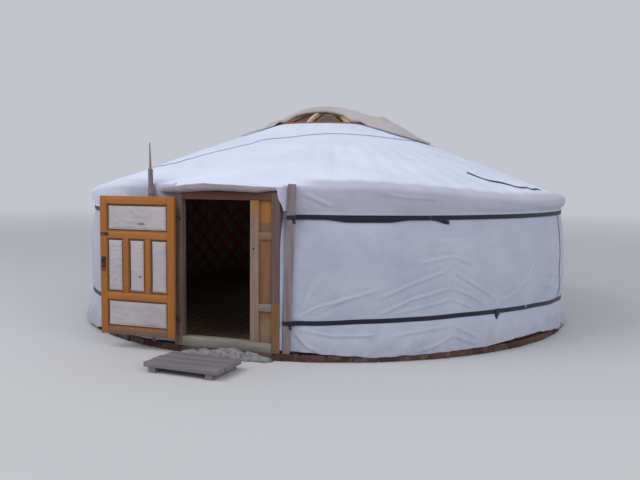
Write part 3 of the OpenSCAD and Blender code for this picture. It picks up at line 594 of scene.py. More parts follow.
# %% [markdown]
# ## Where the covers lie
#
# The roof is a cone on its poles, lifted over the door, where the poles rest on the door's head
# instead of the lattice. The lift dies away on both flanks. A few functions say how high the roof
# is and how far the wall stands out, and every soft piece reads them, so the pieces always meet.
#
# %% Shapes of the wall and the roof
ROOF_EDGE, ROOF_TOP = 0.752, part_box("roof_cover_2")[1].z
SLOPE, EAVE_R, EAVE_C, EAVE_Z, EAVE_ROUND = 0.38186, 3.065, 3.048, 1.5333, 0.060
WALL_R, WALL_TOP_R, WALL_TOP = 3.100, 3.0473, 1.494
VALANCE_R, VALANCE_LOW = 3.0568, 1.385
BELLY_Z, BELLY_TALL, BELLY_DEEP = 0.9, 0.485, 0.0527
LIFT_ENDS, LIFT_FADE = 66, 42
DOOR_SWEEP = 11.0


def round_point(angle, radius, z):
    """Angle in degrees from the door, seen from above, turning to the right."""
    a = math.radians(angle)
    return Vector((radius * math.sin(a), -radius * math.cos(a), z))


def angle_of(spot):
    """The angle from the door at which a spot lies."""
    return math.degrees(math.atan2(spot.x, -spot.y))


def from_door(angle):
    """How many degrees an angle lies from the door, on either side."""
    return abs((angle + 180) % 360 - 180)


def smooth(t):
    """Eases from 0 to 1, and stays there."""
    t = min(1.0, max(0.0, t))
    return t * t * (3 - 2 * t)


def mixed(a, b, t):
    return a + (b - a) * t


def bell(x, width):
    """A soft bump, 1 at nought and nearly 0 two widths away."""
    return math.exp(-((x / width) ** 2))


def ripple(x, y, z):
    """Smooth noise, from about -1 to 1."""
    return noise.noise(Vector((x, y, z)))


def ridged(x, y, seed):
    """Noise with sharp crests, from 0 to 1, for creases."""
    return 1 - min(1.0, 3.2 * abs(ripple(x, y, seed)))


def raised(angle, radius):
    """How far the roof is lifted beside and over the door."""
    reach = min(radius, EAVE_R) - ROOF_EDGE
    return smooth((LIFT_ENDS - from_door(angle)) / LIFT_FADE) * (0.00034 + 0.05718 * reach)


def roof_z(angle, radius):
    """Height of the canvas on the roof."""
    return ROOF_TOP - SLOPE * (radius - ROOF_EDGE) + raised(angle, radius)


def wall_radius(z):
    """How far the wall's canvas stands from the axis."""
    if z > VALANCE_LOW:
        return WALL_TOP_R
    return WALL_R - BELLY_DEEP * max(0.0, (z - BELLY_Z) / BELLY_TALL) ** 2


print("roof height at its edge", round(roof_z(90, 3.069), 3), "and over the door", round(roof_z(0, 3.069), 3))

# %% [markdown]
# ## Folds that can be seen from afar
#
# Small noise alone doesn't look like tied canvas. The folds that catch the light are drawn one by
# one, as bent lines on the wall: angle from the door and height for each of their points. A fold
# is a soft ridge with a hollow at its foot, and it fades out at both ends.
#
# %% Folds
WALL_FOLDS = [
    (0.007, [(15.8, 0.447), (22.2, 0.609), (28.3, 0.704)]),
    (0.009, [(28.4, 0.616), (35.1, 0.765), (42.6, 0.891)]),
    (0.011, [(27.5, 0.433), (34.4, 0.599), (42.8, 0.700)]),
    (0.010, [(31.4, 0.464), (37.4, 0.527), (42.9, 0.589)]),
    (0.010, [(42.6, 0.880), (47.1, 0.737), (53.3, 0.549)]),
    (0.010, [(42.8, 0.698), (47.1, 0.605), (50.5, 0.500)]),
    (0.009, [(42.8, 0.587), (47.7, 0.480)]),
    (0.006, [(36.0, 0.960), (43.0, 1.014), (48.0, 0.915)]),
    (0.007, [(31.0, 0.250), (37.5, 0.292), (43.0, 0.325)]),
    (0.009, [(35.0, 0.080), (39.6, 0.144), (43.0, 0.226)]),
    (0.009, [(43.0, 0.323), (48.5, 0.180)]),
    (0.009, [(43.0, 0.221), (48.0, 0.115)]),
    (0.007, [(13.0, 0.433), (14.4, 0.603), (15.6, 0.830)]),
    (0.008, [(13.6, 0.420), (17.2, 0.527), (23.0, 0.625)]),
    (0.010, [(12.9, 0.300), (15.3, 0.157), (18.2, 0.090)]),
    (0.008, [(13.6, 0.318), (20.0, 0.255), (29.0, 0.264)]),
    (0.010, [(66.6, 0.900), (63.5, 0.704), (58.8, 0.575), (54.0, 0.500)]),
    (0.008, [(65.5, 0.749), (61.5, 0.605), (57.0, 0.505)]),
]
WALL_SEAM = [(67.8, 1.37), (66.4, 0.90), (64.0, 0.64), (63.2, 0.40), (63.0, 0.12)]
VALANCE_FOLDS = [
    (0.010, [(14.5, 1.640), (17.0, 1.570), (20.0, 1.500)]),
    (0.006, [(20.6, 1.620), (20.6, 1.510)]),
    (0.008, [(27.0, 1.655), (33.0, 1.600), (40.0, 1.585)]),
    (0.009, [(52.0, 1.590), (58.0, 1.560), (66.0, 1.530)]),
]


def on_metres(line):
    """A line with its angles turned into lengths along the wall."""
    return [(math.radians(a) * WALL_R, z) for a, z in line]


def near_line(x, z, line):
    """Distance to a bent line, and how far along it that is, from 0 to 1."""
    best, spot = 9.0, 0.0
    for i, ((ax, az), (bx, bz)) in enumerate(zip(line, line[1:])):
        dx, dz = bx - ax, bz - az
        t = min(1.0, max(0.0, ((x - ax) * dx + (z - az) * dz) / (dx * dx + dz * dz)))
        away = math.hypot(ax + dx * t - x, az + dz * t - z)
        if away < best:
            best, spot = away, (i + t) / (len(line) - 1)
    return best, spot


FOLD_REACH, FOLD_GAIN, FOOT_WIDE = 0.15, 2.1, 2.4


def fold_push(x, z, folds, width=0.017):
    """How far the drawn folds push a point of cloth out: a ridge less a wider, lower foot."""
    push = 0.0
    for depth, line in folds:
        if min(p[0] for p in line) - FOLD_REACH < x < max(p[0] for p in line) + FOLD_REACH:
            away, spot = near_line(x, z, line)
            if away < FOLD_REACH:
                fade = smooth(min(spot, 1 - spot) * 5 + 0.15)
                push += FOLD_GAIN * depth * fade * (bell(away, width) - 0.5 * bell(away, FOOT_WIDE * width))
    return push


wall_folds = [(depth, on_metres(line)) for depth, line in WALL_FOLDS]
valance_folds = [(depth, on_metres(line)) for depth, line in VALANCE_FOLDS]
seam_line = on_metres(WALL_SEAM)
print("folds", len(wall_folds), "on the wall,", len(valance_folds), "on the valance")

# %% [markdown]
# ## Roof canvas
#
# The cover is white cotton laid over felt. It sags a little between the poles, its eave is rolled
# round the poles' ends, and below it a valance hangs down to the upper band. Beside the door the
# eave climbs while the valance's hem stays level, so the valance gets deeper there. The outline is
# walked from the crown to the hem, and each point is then pushed by sag, seams and folds. The part
# over the door is a piece of its own, without a valance. Both read the same relief, so they meet
# without a step, and its sides curl down with the eave.
#
# %% Roof canvas
ROOF_END, EAVE_END, FALL_END = 0.62, 0.76, 0.93
EAVE_FROM, EAVE_TO = 69.1, -20.0
ROOF_REACH, FALL_LOW, PLEATS_ROUND = 2.3174, 1.445, 60


def eave_spot(turn):
    """Radius and height on the eave's round edge, at degrees from level."""
    a = math.radians(turn)
    return EAVE_C + EAVE_ROUND * math.cos(a), EAVE_Z + EAVE_ROUND * math.sin(a)


def outline_at(v, angle):
    """Radius and height of the canvas at v, from 0 at the crown to 1 at the hem."""
    if v <= ROOF_END:
        radius = mixed(ROOF_EDGE, eave_spot(EAVE_FROM)[0], v / ROOF_END)
        return radius, roof_z(angle, radius)
    up = raised(angle, EAVE_R)
    if v <= EAVE_END:
        radius, z = eave_spot(mixed(EAVE_FROM, EAVE_TO, (v - ROOF_END) / (EAVE_END - ROOF_END)))
        return radius, z + up
    if v <= FALL_END:
        radius, z = eave_spot(EAVE_TO)
        t = (v - EAVE_END) / (FALL_END - EAVE_END)
        return mixed(radius, VALANCE_R, t ** 1.25), mixed(z + up, FALL_LOW, t)
    return VALANCE_R, mixed(FALL_LOW, VALANCE_LOW, (v - FALL_END) / (1 - FALL_END))


def roof_relief(angle, radius):
    """Sag between the poles, creases and the seam, on the part that lies on the roof."""
    a = math.radians(angle)
    x, y = math.sin(a), math.cos(a)
    relief = 0.010 * ripple(x * radius * 0.9, y * radius * 0.9, 3.0)
    relief += 0.010 * ripple(x * 1.6, y * 1.6, radius * 4.0) * smooth((radius - 1.2) / 0.6)
    crease = ridged(x * radius * 1.5, y * radius * 1.5, radius * 0.6) ** 2
    relief += 0.007 * crease * smooth((radius - 1.0) / 0.5)
    relief -= 0.009 * (0.5 - 0.5 * math.cos(a * PLEATS_ROUND)) * smooth((radius - 1.1) / 1.2)
    seam = 0.005 * bell((a - math.radians(19.3)) * radius, 0.012)
    return relief * smooth((radius - 0.8) / 0.3) + seam


def roof_point(angle, v):
    radius, z = outline_at(v, angle)
    around = math.radians(angle) * radius
    z += smooth((0.66 - v) / 0.05) * roof_relief(angle, radius)
    if v > 0.70:
        hanging = math.sin(math.pi * smooth((v - 0.70) / 0.26))
        pleat = 0.009 * ripple(around * 2.4, z * 1.2, 5.0) + 0.005 * ripple(around * 8.0, z * 1.6, 9.0)
        radius += hanging * pleat
        if hanging and angle < 80:
            radius += hanging * fold_push(math.radians(angle) * WALL_R, z, valance_folds, 0.020)
    if v > FALL_END:
        radius += 0.0015 * ripple(around * 14.0, 0.0, 2.0)
    return round_point(angle, radius, z)


def painted_shade_share(vertex):
    """How far a point of the canvas gets painted shade: steep faces at the eave and valance, less towards the left.
    """
    reach = vertex.co.xy.length
    if reach <= 2.88:
        return 0.0
    beside = smooth((from_door(angle_of(vertex.co)) - 12) / 6)
    steep = max(smooth((0.88 - vertex.normal.z) / 0.5), 0.9 * smooth((reach - 2.88) / 0.16) * beside)
    return steep * mixed(0.15, 1.0, smooth((vertex.co.x + 1.9) / 1.6))


roof_canvas = grid_piece(760, 110, lambda u, v: roof_point(DOOR_SWEEP + (360 - 2 * DOOR_SWEEP) * u, 1 - v))
keep(roof_canvas, "roof_canvas", ROOF_CANVAS, "roof_canvas",
     stands_for=["roof_cover_1", "roof_cover_2", "roof_cover_3", "roof_cover_4", "roof_cover_flanks"])
# The hanging attribute carries painted shade: how far each point takes the darker hanging tones.
hanging = roof_canvas.data.attributes.new("hanging", "FLOAT", "POINT")
for vertex in roof_canvas.data.vertices:
    hanging.data[vertex.index].value = painted_shade_share(vertex)

# %% Canvas over the door
DOOR_LAP, DOOR_EAVE = 0.05, 3.100


def door_canvas_point(u, v):
    angle = -DOOR_SWEEP - DOOR_LAP + 2 * (DOOR_SWEEP + DOOR_LAP) * u
    radius = ROOF_EDGE + (DOOR_EAVE - ROOF_EDGE) * v
    curl = smooth((radius - 3.02) / 0.08)
    z = roof_z(angle, min(radius, 3.09)) - 0.022 * curl * curl + roof_relief(angle, radius)
    at_side = smooth((abs(angle) - 9.2) / 1.4) * curl
    if at_side:
        eave_r, eave_z = outline_at(ROOF_END + 0.09 * curl, angle)
        radius, z = mixed(radius, eave_r, at_side), mixed(z, eave_z, at_side)
    return round_point(angle, radius, z)


door_canvas = grid_piece(56, 90, lambda u, v: door_canvas_point(u, 1 - v))
keep(door_canvas, "door_canvas", ROOF_CANVAS, "roof_canvas", stands_for=["roof_cover_door"])
print("canvas over the door", len(door_canvas.data.polygons), "faces")

# %% [markdown]
# ## Felt under the canvas
#
# Between the poles and the canvas lies felt, which shows at the crown's edge and from inside. It
# is one thick grid for the roof. The wall has two layers: one on the lattice, and one behind the
# canvas where it bellies out. A Solidify modifier gives each its body.
#
# %% Felt liners
FELT_THICK, FELT_DROP, FELT_SET_BACK, FELT_FOOT = 0.018, 0.025, 0.016, 0.078
WALL_SWEEP = 360 - 2 * DOOR_SWEEP


def roof_felt_point(u, v):
    radius = ROOF_EDGE - 0.004 + (3.066 - ROOF_EDGE) * (1 - v)
    return round_point(360 * u, radius, roof_z(360 * u, radius) - FELT_DROP)


def inner_felt_point(u, v):
    return round_point(DOOR_SWEEP + WALL_SWEEP * u, 3.0450, 0.073 + 1.420 * v)


def wall_felt_point(u, v):
    z = FELT_FOOT + 1.15 * v
    return round_point(DOOR_SWEEP + WALL_SWEEP * u, wall_radius(z) - FELT_SET_BACK, z)


for name, across, along, place in [("roof_felt", 240, 24, roof_felt_point),
                                   ("wall_felt_inner", 180, 8, inner_felt_point),
                                   ("wall_felt", 180, 12, wall_felt_point)]:
    felt = grid_piece(across, along, place, FELT_THICK, -1)
    keep(felt, name, LINER_FELT, "felt")
    print(name, len(felt.data.polygons), "faces")

# %% [markdown]
# ## Wall canvas
#
# Between the bands the canvas bellies out over the felt. Each band pulls it in, so small puckers
# fan out above and below. Under the lower band it hangs free, flares over the bricks, and ends in
# an uneven hem. The band's height and the hem's are read from short lists of angle and height.
#
# %% Wall canvas
LOWER_BAND = [(-60, 0.392), (-38, 0.398), (-16, 0.394), (15.7, 0.374), (27, 0.396), (36, 0.405), (46, 0.418),
              (54, 0.416), (65, 0.409), (78, 0.379), (91, 0.342), (130, 0.385), (180, 0.40), (240, 0.40),
              (300, 0.392)]
HEM = [(10, 0.105), (14.4, 0.095), (28.5, 0.052), (44, 0.071), (64, 0.115), (87, 0.030), (120, 0.09), (180, 0.08),
       (240, 0.09), (290, 0.05), (310, 0.025), (318, 0.03), (330, 0.08), (350, 0.09)]
BAND_HALF, BAND_PINCH = 0.028, 0.0095


def along_list(points, angle):
    """A value read between an angle's neighbours in a list of (angle, value)."""
    ring = points + [(points[0][0] + 360, points[0][1])]
    while angle < ring[0][0]:
        angle += 360
    while angle > ring[-1][0]:
        angle -= 360
    for (a, p), (b, q) in zip(ring, ring[1:]):
        if a <= angle <= b:
            return p + (q - p) * smooth((angle - a) / (b - a))
    return ring[0][1]


def hem_at(angle):
    """Height of the canvas's uneven hem."""
    return along_list(HEM, angle) + 0.012 * ripple(angle * 0.35, 0, 2.0)


def wall_creases(angle, around, z):
    """Creases of the canvas between its bands, in metres outwards."""
    broad = ripple(around * 0.9, z * 1.1, 1.0)
    slack = ripple(around * 2.6 + z * 1.8, z * 2.2, 4.0)
    fine = ridged(around * 3.0 - z * 2.4, z * 1.2, 7.0) ** 2
    low_down = 0.35 + 0.65 * smooth((1.0 - z) / 0.5)
    level_here = smooth((angle - 30) / 12) * smooth((80 - angle) / 10) * smooth((z - 0.8) / 0.2)
    level = ripple(around * 1.8, z * 17, 17.0) * level_here
    rough_here = smooth((angle - 64) / 8) * smooth((112 - angle) / 10) * bell(z - 0.40, 0.34)
    rough = 0.021 * ridged(around * 2.1 + z * 3.0, z * 4.5, 21.0) ** 2 + 0.010 * ripple(around * 9, z * 12, 22.0)
    return 0.005 * broad + 0.005 * (slack + fine) * low_down + 0.0045 * level + rough_here * rough


def free_skirt(angle, around, z, drop):
    """How far the canvas flares out under the lower band, at a share of the drop to its hem."""
    open_here = smooth((from_door(angle) - 13.4) / 2.4)
    left_end = smooth((from_door(angle) - 30) / 12) * smooth((angle - 290) / 14) * smooth((332 - angle) / 14)
    fold = ripple(around * 2.3, z * 0.6, 12.0) + 0.5 * ripple(around * 6.0, z * 1.2, 13.0)
    crest = ridged(around * 3.2, z * 2.0, 31.0) ** 2 * ripple(around * 5, 0, 3)
    return drop * (0.006 + (0.044 + 0.020 * fold) * open_here + left_end * (0.030 + 0.040 * crest))


def wall_point(angle, v):
    band_z, hem = along_list(LOWER_BAND, angle), hem_at(angle)
    z = hem + (WALL_TOP - hem) * v
    around = math.radians(angle) * WALL_R
    above = max(0.0, abs(z - band_z) - BAND_HALF)
    near_band = math.exp(-above / 0.09)
    free = (1 - math.exp(-above / 0.05)) * (1 - math.exp(-max(0.0, VALANCE_LOW - 0.006 - z) / 0.06))
    radius = wall_radius(z) + free * wall_creases(angle, around, z)
    radius -= BAND_PINCH * (near_band if z > band_z - BAND_HALF else 1)
    radius += 0.004 * ripple(around * 11.0, z * 1.0, 6.0) * near_band * min(1, above * 60)
    if angle < 95:
        away = near_line(around, z, seam_line)[0]
        radius += free * fold_push(around, z, wall_folds) + 0.0055 * bell(away, 0.008)
        radius += 0.009 * free * ripple(3.0, z * 34, 9.0) * math.exp(-away / 0.05)
    below = band_z - BAND_HALF - z
    if below > 0:
        radius += free_skirt(angle, around, z, below / max(0.05, band_z - BAND_HALF - hem))
    at_jamb = smooth((11.35 - from_door(angle)) / 0.75) * smooth((1.42 - z) / 0.1)
    return round_point(angle, radius + 0.026 * at_jamb, z)


WALL_START = 10.62
QUARTER = (360 - 2 * WALL_START) / 4
for index in range(4):
    start = WALL_START + QUARTER * index
    across, along = (360, 130) if index in (0, 3) else (220, 80)
    wall = grid_piece(across, along, lambda u, v: wall_point(start + QUARTER * u, v))
    keep(wall, f"wall_canvas_{index + 1}", SHADED_WALL_CANVAS, "wall_canvas", stands_for=[f"wall_cover_{index + 1}"])
print("wall canvas in four lengths of", round(QUARTER, 1), "degrees")

# %% [markdown]
# ## Top canvas
#
# A second piece of canvas lies on the roof round the crown. Only its taped edge can be seen, as a
# thin grey line that crosses the front of the roof; the tape is painted darker than the canvas so
# that it also stands for the shadow along the edge. The edge is nearly straight in front, because
# the piece is square, and it is drawn as points of angle and distance from the axis.
#
# %% Top canvas and its taped edge
TOP_EDGE = [(-60, 2.00), (-40, 2.45), (-29, 2.42), (-24.3, 2.12), (-21.3, 1.908), (-16, 1.68), (-11.6, 1.509),
            (-6, 1.455), (-0.2, 1.423), (5, 1.37), (11.5, 1.311), (21.5, 1.261), (32, 1.262), (45, 1.262),
            (60, 1.28), (75, 1.31), (95, 1.38), (120, 1.60), (140, 2.05), (155, 1.85), (180, 1.50), (205, 1.60),
            (228, 2.10), (245, 1.75), (270, 1.58)]
TOP_HOLE, TAPE_WIDE = 0.762, 0.011


def on_roof(angle, radius, up):
    """A spot on the roof's canvas, a little above it."""
    return roof_point(angle, ROOF_END * (radius - ROOF_EDGE) / ROOF_REACH) + Vector((0, 0, up))


def top_canvas_point(angle, v):
    radius = mixed(TOP_HOLE, along_list(TOP_EDGE, angle), v)
    up = 0.0035 + 0.002 * smooth((v - 0.97) / 0.03)
    if from_door(angle) >= DOOR_SWEEP:
        return on_roof(angle, radius, up)
    u = (angle + DOOR_SWEEP + DOOR_LAP) / (2 * (DOOR_SWEEP + DOOR_LAP))
    return door_canvas_point(u, (radius - ROOF_EDGE) / (DOOR_EAVE - ROOF_EDGE)) + Vector((0, 0, up))


def tape_point(u, v):
    angle = -180 + 360 * u
    wide = TAPE_WIDE / (along_list(TOP_EDGE, angle) - TOP_HOLE)
    return top_canvas_point(angle, 1 + (v - 0.5) * wide) + Vector((0, 0, 0.002))


top_canvas = grid_piece(360, 36, lambda u, v: top_canvas_point(-180 + 360 * u, 1 - v))
keep(top_canvas, "top_canvas", ROOF_CANVAS, "roof_canvas")
tape = keep(grid_piece(360, 2, tape_point, 0.004, 1), "top_canvas_tape", TAPE_AND_EDGE_SHADE, "roof_canvas")

# %% [markdown]
# ## Strap on the roof
#
# A loose dark strap comes over the right side of the roof and ends on the canvas. Its route is a
# few points of angle and distance from the axis, and the strip takes its height from the canvas.
#
# %% Roof strap
STRAP_ROUTE = [(60, 2.387), (60.7, 2.486), (62, 2.568), (63.5, 2.628), (66.1, 2.732), (71, 2.828), (75.5, 2.850),
               (80, 2.865)]


def strap_point(u, v):
    i = min(len(STRAP_ROUTE) - 2, int(u * (len(STRAP_ROUTE) - 1)))
    t = u * (len(STRAP_ROUTE) - 1) - i
    (a, p), (b, q) = STRAP_ROUTE[i], STRAP_ROUTE[i + 1]
    run = round_point(b, q, 0) - round_point(a, p, 0)
    across = Vector((run.y, -run.x, 0)).normalized() * (v - 0.5) * mixed(0.042, 0.026, smooth((u - 0.5) / 0.2))
    spot = round_point(mixed(a, b, t), mixed(p, q, t), 0) + across
    return on_roof(angle_of(spot), spot.length, 0.006)


roof_strap = grid_piece(56, 3, strap_point, 0.008)
keep(roof_strap, "roof_strap", STRAP, "dark_webbing", stands_for=["loose_strap"])
print("roof strap", len(roof_strap.data.polygons), "faces")

# %% [markdown]
# ## Crown cover
#
# A square of felt closes the crown at night. By day its front half is folded back over the rear
# half, so what shows is one long folded edge across the crown, with a corner lying on the roof at
# either end. The grid runs from the lower layer's back corner to the fold and back over the top.
#
# %% Crown cover
CROWN_TURN = 19.0
ARCH_R, ARCH_TOP, ARCH_SPAN = 1.3076, 2.694, 0.695
RING_TOP, RING_SHOULDER, SHOULDER_SLOPE = 2.4941, 0.79, 0.75
COVER_FRONT = [(-1.13, -0.44), (-0.88, -0.50), (-0.64, -0.46), (-0.41, -0.30), (-0.02, -0.405), (0.18, -0.50),
               (0.32, -0.67), (0.56, -0.725), (0.90, -0.755), (1.10, -0.69), (1.32, -0.54)]
COVER_BACK = Vector((0.06, 1.00))
LAYER, COVER_GAP, FOLD_ENDS, FOLD_MIDDLE = 0.011, 0.006, 0.018, 0.049


def cover_bed(spot):
    """Height of what the crown cover lies on: arches, ring and roof."""
    radius = spot.length
    if radius < ARCH_SPAN:
        return max(RING_TOP, ARCH_TOP - ARCH_R + math.sqrt(ARCH_R ** 2 - radius ** 2))
    if radius < RING_SHOULDER:
        return RING_TOP
    on_canvas = roof_z(angle_of(spot) + CROWN_TURN, radius) + 0.004
    return max(on_canvas, RING_TOP - SHOULDER_SLOPE * (radius - RING_SHOULDER))


def cover_edge(u):
    """The folded front edge, eased a little at its corners."""
    spans = len(COVER_FRONT) - 1
    i = min(spans - 1, int(u * spans))
    t = u * spans - i
    return Vector(COVER_FRONT[i]).lerp(Vector(COVER_FRONT[i + 1]), smooth(t) * 0.35 + t * 0.65)


def cover_far(u):
    """Where the felt that starts at u on the fold ends, on the cover's two back edges."""
    if u < 0.5:
        return (Vector(COVER_FRONT[0]) + Vector((0.03, 0.07))).lerp(COVER_BACK, 2 * u)
    return COVER_BACK.lerp(Vector(COVER_FRONT[-1]) + Vector((-0.03, 0.07)), 2 * u - 1)


def cover_relief(u, v, spot):
    """The bulge at the right and soft waves, weaker in the lower layer."""
    bulge = 0.050 * bell(spot.x - 0.88, 0.205) + 0.032 * bell(spot.x - 0.66, 0.10)
    bulge *= bell(spot.y + 0.18, 0.33) * min(1.0, abs(v - 0.5) * 10)
    wave = 0.006 * ripple(spot.x * 4.2, spot.y * 3.0, 2.0) + 0.004 * ripple(spot.x * 12, spot.y * 8, 4.0)
    if v > 0.5:
        wave += 0.004 * ridged(spot.x * 2.2 + spot.y * 0.8, spot.y * 1.8, 14.0) ** 2
    strength = 0.4 if v < 0.5 else 1
    return bulge + wave * smooth(u * 4) * strength


def cover_point(u, v):
    start = cover_edge(u)
    inward = cover_far(u) - start
    reach = max(inward.length, 1e-6)
    open_here = smooth((u - 0.08) / 0.30) * smooth((1.02 - u) / 0.16)
    fold = (mixed(FOLD_ENDS, FOLD_MIDDLE, open_here) - LAYER) / 2
    t = abs(v - 0.5) * 2
    arc = 0.085 if reach > 0.3 else 0.3
    if t < arc:
        turn = (t / arc) * math.pi / 2
        along = fold * (1 - math.cos(turn))
        lift = fold + (fold if v > 0.5 else -fold) * math.sin(turn)
    else:
        along = fold + (reach - fold) * (t - arc) / (1 - arc) * (0.93 if v > 0.5 else 1.0)
        lift = 2 * fold if v > 0.5 else 0.0
    spot = start + inward / reach * along
    z = cover_bed(spot) + COVER_GAP + LAYER / 2 + lift + cover_relief(u, v, spot)
    return Matrix.Rotation(math.radians(CROWN_TURN), 3, "Z") @ Vector((spot.x, spot.y, z))


crown_cover = grid_piece(150, 120, cover_point)
add_modifier(crown_cover, "SOLIDIFY", thickness=LAYER, offset=0)
keep(crown_cover, "crown_felt_cover", CROWN_FELT, "felt", stands_for=["crown_cover"])

# %% [markdown]
# ## Roll over the door
#
# Over the door the felt's front edge is rolled up and sags along the head of the frame. A cylinder
# is cut into short lengths, bent along the eave, and squeezed unevenly. Slanting creases show that
# it is wound, not turned.
#
# %% Door roll
ROLL_SHAPE = [(-14.0, 1.627, 0.010), (-12.6, 1.640, 0.026), (-10.8, 1.648, 0.034), (-7.6, 1.665, 0.037),
              (-4.4, 1.678, 0.038), (-2.0, 1.679, 0.034), (1.3, 1.672, 0.031), (6.4, 1.664, 0.030),
              (9.7, 1.668, 0.018), (10.4, 1.669, 0.012)]
ROLL_AXIS = -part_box("door_roll")[0].y - 0.028


def roll_at(angle):
    """Height of the roll's middle and its half thickness at an angle."""
    for (a, z0, r0), (b, z1, r1) in zip(ROLL_SHAPE, ROLL_SHAPE[1:]):
        if angle <= b:
            t = smooth((angle - a) / (b - a))
            return mixed(z0, z1, t), mixed(r0, r1, t)
    return ROLL_SHAPE[-1][1:]


door_roll = added(bpy.ops.mesh.primitive_cylinder_add, vertices=36, radius=1, depth=1, end_fill_type="TRIFAN")
long_cuts(door_roll, 2, 120)
for vertex in door_roll.data.vertices:
    t = vertex.co.z + 0.5
    angle = mixed(ROLL_SHAPE[0][0], ROLL_SHAPE[-1][0], t)
    middle_z, half = roll_at(angle)
    spin = math.atan2(vertex.co.y, vertex.co.x)
    wound = spin + t * 9
    crease = 1 + 0.12 * ripple(math.cos(spin) * 1.3, math.sin(spin) * 1.3, t * 14)
    crease += 0.07 * ripple(math.cos(wound) * 2.6, math.sin(wound) * 2.6, t * 10)
    thick = half * crease if vertex.co.xy.length > 0.5 else 0
    vertex.co = round_point(angle, ROLL_AXIS + math.cos(spin) * thick, middle_z + math.sin(spin) * thick)
shade_round(door_roll)
keep(door_roll, "door_felt_roll", ROLL_FELT, "felt", stands_for=["door_roll"])


def flap_point(u, v):
    """The corner of canvas that hangs from the roll's right end down behind the batten."""
    left = mixed(11.15, 9.75, v) + 0.1 * math.sin(v * 9)
    angle = mixed(left, 12.15, u)
    radius = 3.1435 - 0.036 * smooth((angle - 10.9) / 1.1) + 0.004 * ripple(angle * 1.2, v * 3, 2.0)
    return round_point(angle, radius, mixed(1.463, 1.688, v))


corner_flap = grid_piece(16, 30, flap_point)
keep(corner_flap, "corner_flap", SHADED_WALL_CANVAS, "wall_canvas")

# %% [markdown]
# ## Door frame
#
# Each timber of the frame is a cube at the size of its CAD solid, with eased edges and faces that
# are no longer quite flat. The left jamb is dark, the post is bare and pale because the shut leaf
# covers it, and the right jamb keeps its paint only low down. Beside the post a narrow fixed panel
# has a painted board with two rails across it.
#
# %% Door frame
BOARD_FACE, BOARD_BACK = -3.063, -3.043
RAIL_FACE, RAIL_BACK, RAIL_TALL = -3.081, -3.0625, 0.074

for node, finish, slot in [("door_sill", SILL_WOOD, "sill_wood"), ("left_jamb", DARK_WOOD, "dark_wood"),
                           ("right_jamb", JAMB_PAINT, "painted_wood"), ("door_head", SHADED_HEAD_PAINT, "painted_wood")]:
    keep(timber(*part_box(node)), node + "_timber", finish, slot, stands_for=[node])

low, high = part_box("side_panel")
panel = timber((low.x, BOARD_FACE, low.z), (high.x, BOARD_BACK, high.z), 0.002)
keep(panel, "side_panel_boards", SIDE_PAINT, "painted_wood", stands_for=["side_panel"])
for name, foot, finish, slot in [("side_panel_lower_rail", 0.478, BARE_ACROSS, "sill_wood"),
                                 ("side_panel_upper_rail", 1.178, UPPER_RAIL, "painted_wood")]:
    keep(timber((low.x, RAIL_FACE, foot), (high.x, RAIL_BACK, foot + RAIL_TALL), 0.003), name, finish, slot)
print("frame timbers done")

# %% [markdown]
# ## Lock post
#
# The post has a round hole where the lock's bolt goes in. The hole is cut with a Boolean modifier,
# as a carpenter would bore it after the timber is planed.
#
# %% Lock post
low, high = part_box("lock_post")
post = timber(low, high)
bore(post, (low.x + 0.036, low.y, 1.088), 0.011, 24)
keep(post, "pale_lock_post", POST_WOOD, "pale_wood", stands_for=["lock_post"])
print("lock post", len(post.data.polygons), "faces")

# %% [markdown]
# ## Door leaf
#
# The leaf is framed from two stiles, four rails and two muntins. Each timber is its own cube, so
# the grain can run the right way, and their inner edges are eased. All are taken from the corners
# of the CAD leaf as it stands, swung open. A sloping bead runs round every pane, its paint darker
# than the leaf's as painted shade for the recess round each pad.
#
# %% Leaf timbers
leaf_low, leaf_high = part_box("leaf_frame")
STILE, TOP_RAIL, LOW_RAIL, MID_RAIL, MUNTIN = 0.080, 0.080, 0.075, 0.074, 0.062
UPPER_Z, LOWER_Z = 1.145, 0.512
pane_left, pane_right = leaf_low.x + STILE, leaf_high.x - STILE
pane_wide = (pane_right - pane_left - 2 * MUNTIN) / 3


def leaf_timber(x0, x1, z0, z1):
    return timber((x0, leaf_low.y, z0), (x1, leaf_high.y, z1), 0.004, 0.0009)


uprights = [leaf_timber(leaf_low.x, pane_left, leaf_low.z, leaf_high.z),
            leaf_timber(pane_right, leaf_high.x, leaf_low.z, leaf_high.z)]
for i in (1, 2):
    x = pane_left + i * pane_wide + (i - 1) * MUNTIN
    uprights.append(leaf_timber(x, x + MUNTIN, LOWER_Z + MID_RAIL, UPPER_Z))
keep(join(uprights), "leaf_uprights", LEAF_UPRIGHT, "painted_wood", "door_leaf", ["leaf_frame"])

across = [leaf_timber(pane_left, pane_right, a, b) for a, b in (
    (leaf_low.z, leaf_low.z + LOW_RAIL), (LOWER_Z, LOWER_Z + MID_RAIL), (UPPER_Z, UPPER_Z + MID_RAIL),
    (leaf_high.z - TOP_RAIL, leaf_high.z))]
keep(join(across), "leaf_rails", LEAF_ACROSS, "painted_wood", "door_leaf")
print("leaf timbers", round(leaf_high.x - leaf_low.x, 3), "wide")

# %% Pane beads
BEAD, BEAD_SLOPE = 0.010, 0.0085
BEAD_FRONT, BEAD_BACK = leaf_low.y + 0.0012, leaf_low.y + 0.016

panes = [(pane_left, pane_right, UPPER_Z + MID_RAIL, leaf_high.z - TOP_RAIL)]
for i in range(3):
    x = pane_left + i * (pane_wide + MUNTIN)
    panes.append((x, x + pane_wide, LOWER_Z + MID_RAIL, UPPER_Z))
panes.append((pane_left, pane_right, leaf_low.z + LOW_RAIL, LOWER_Z))


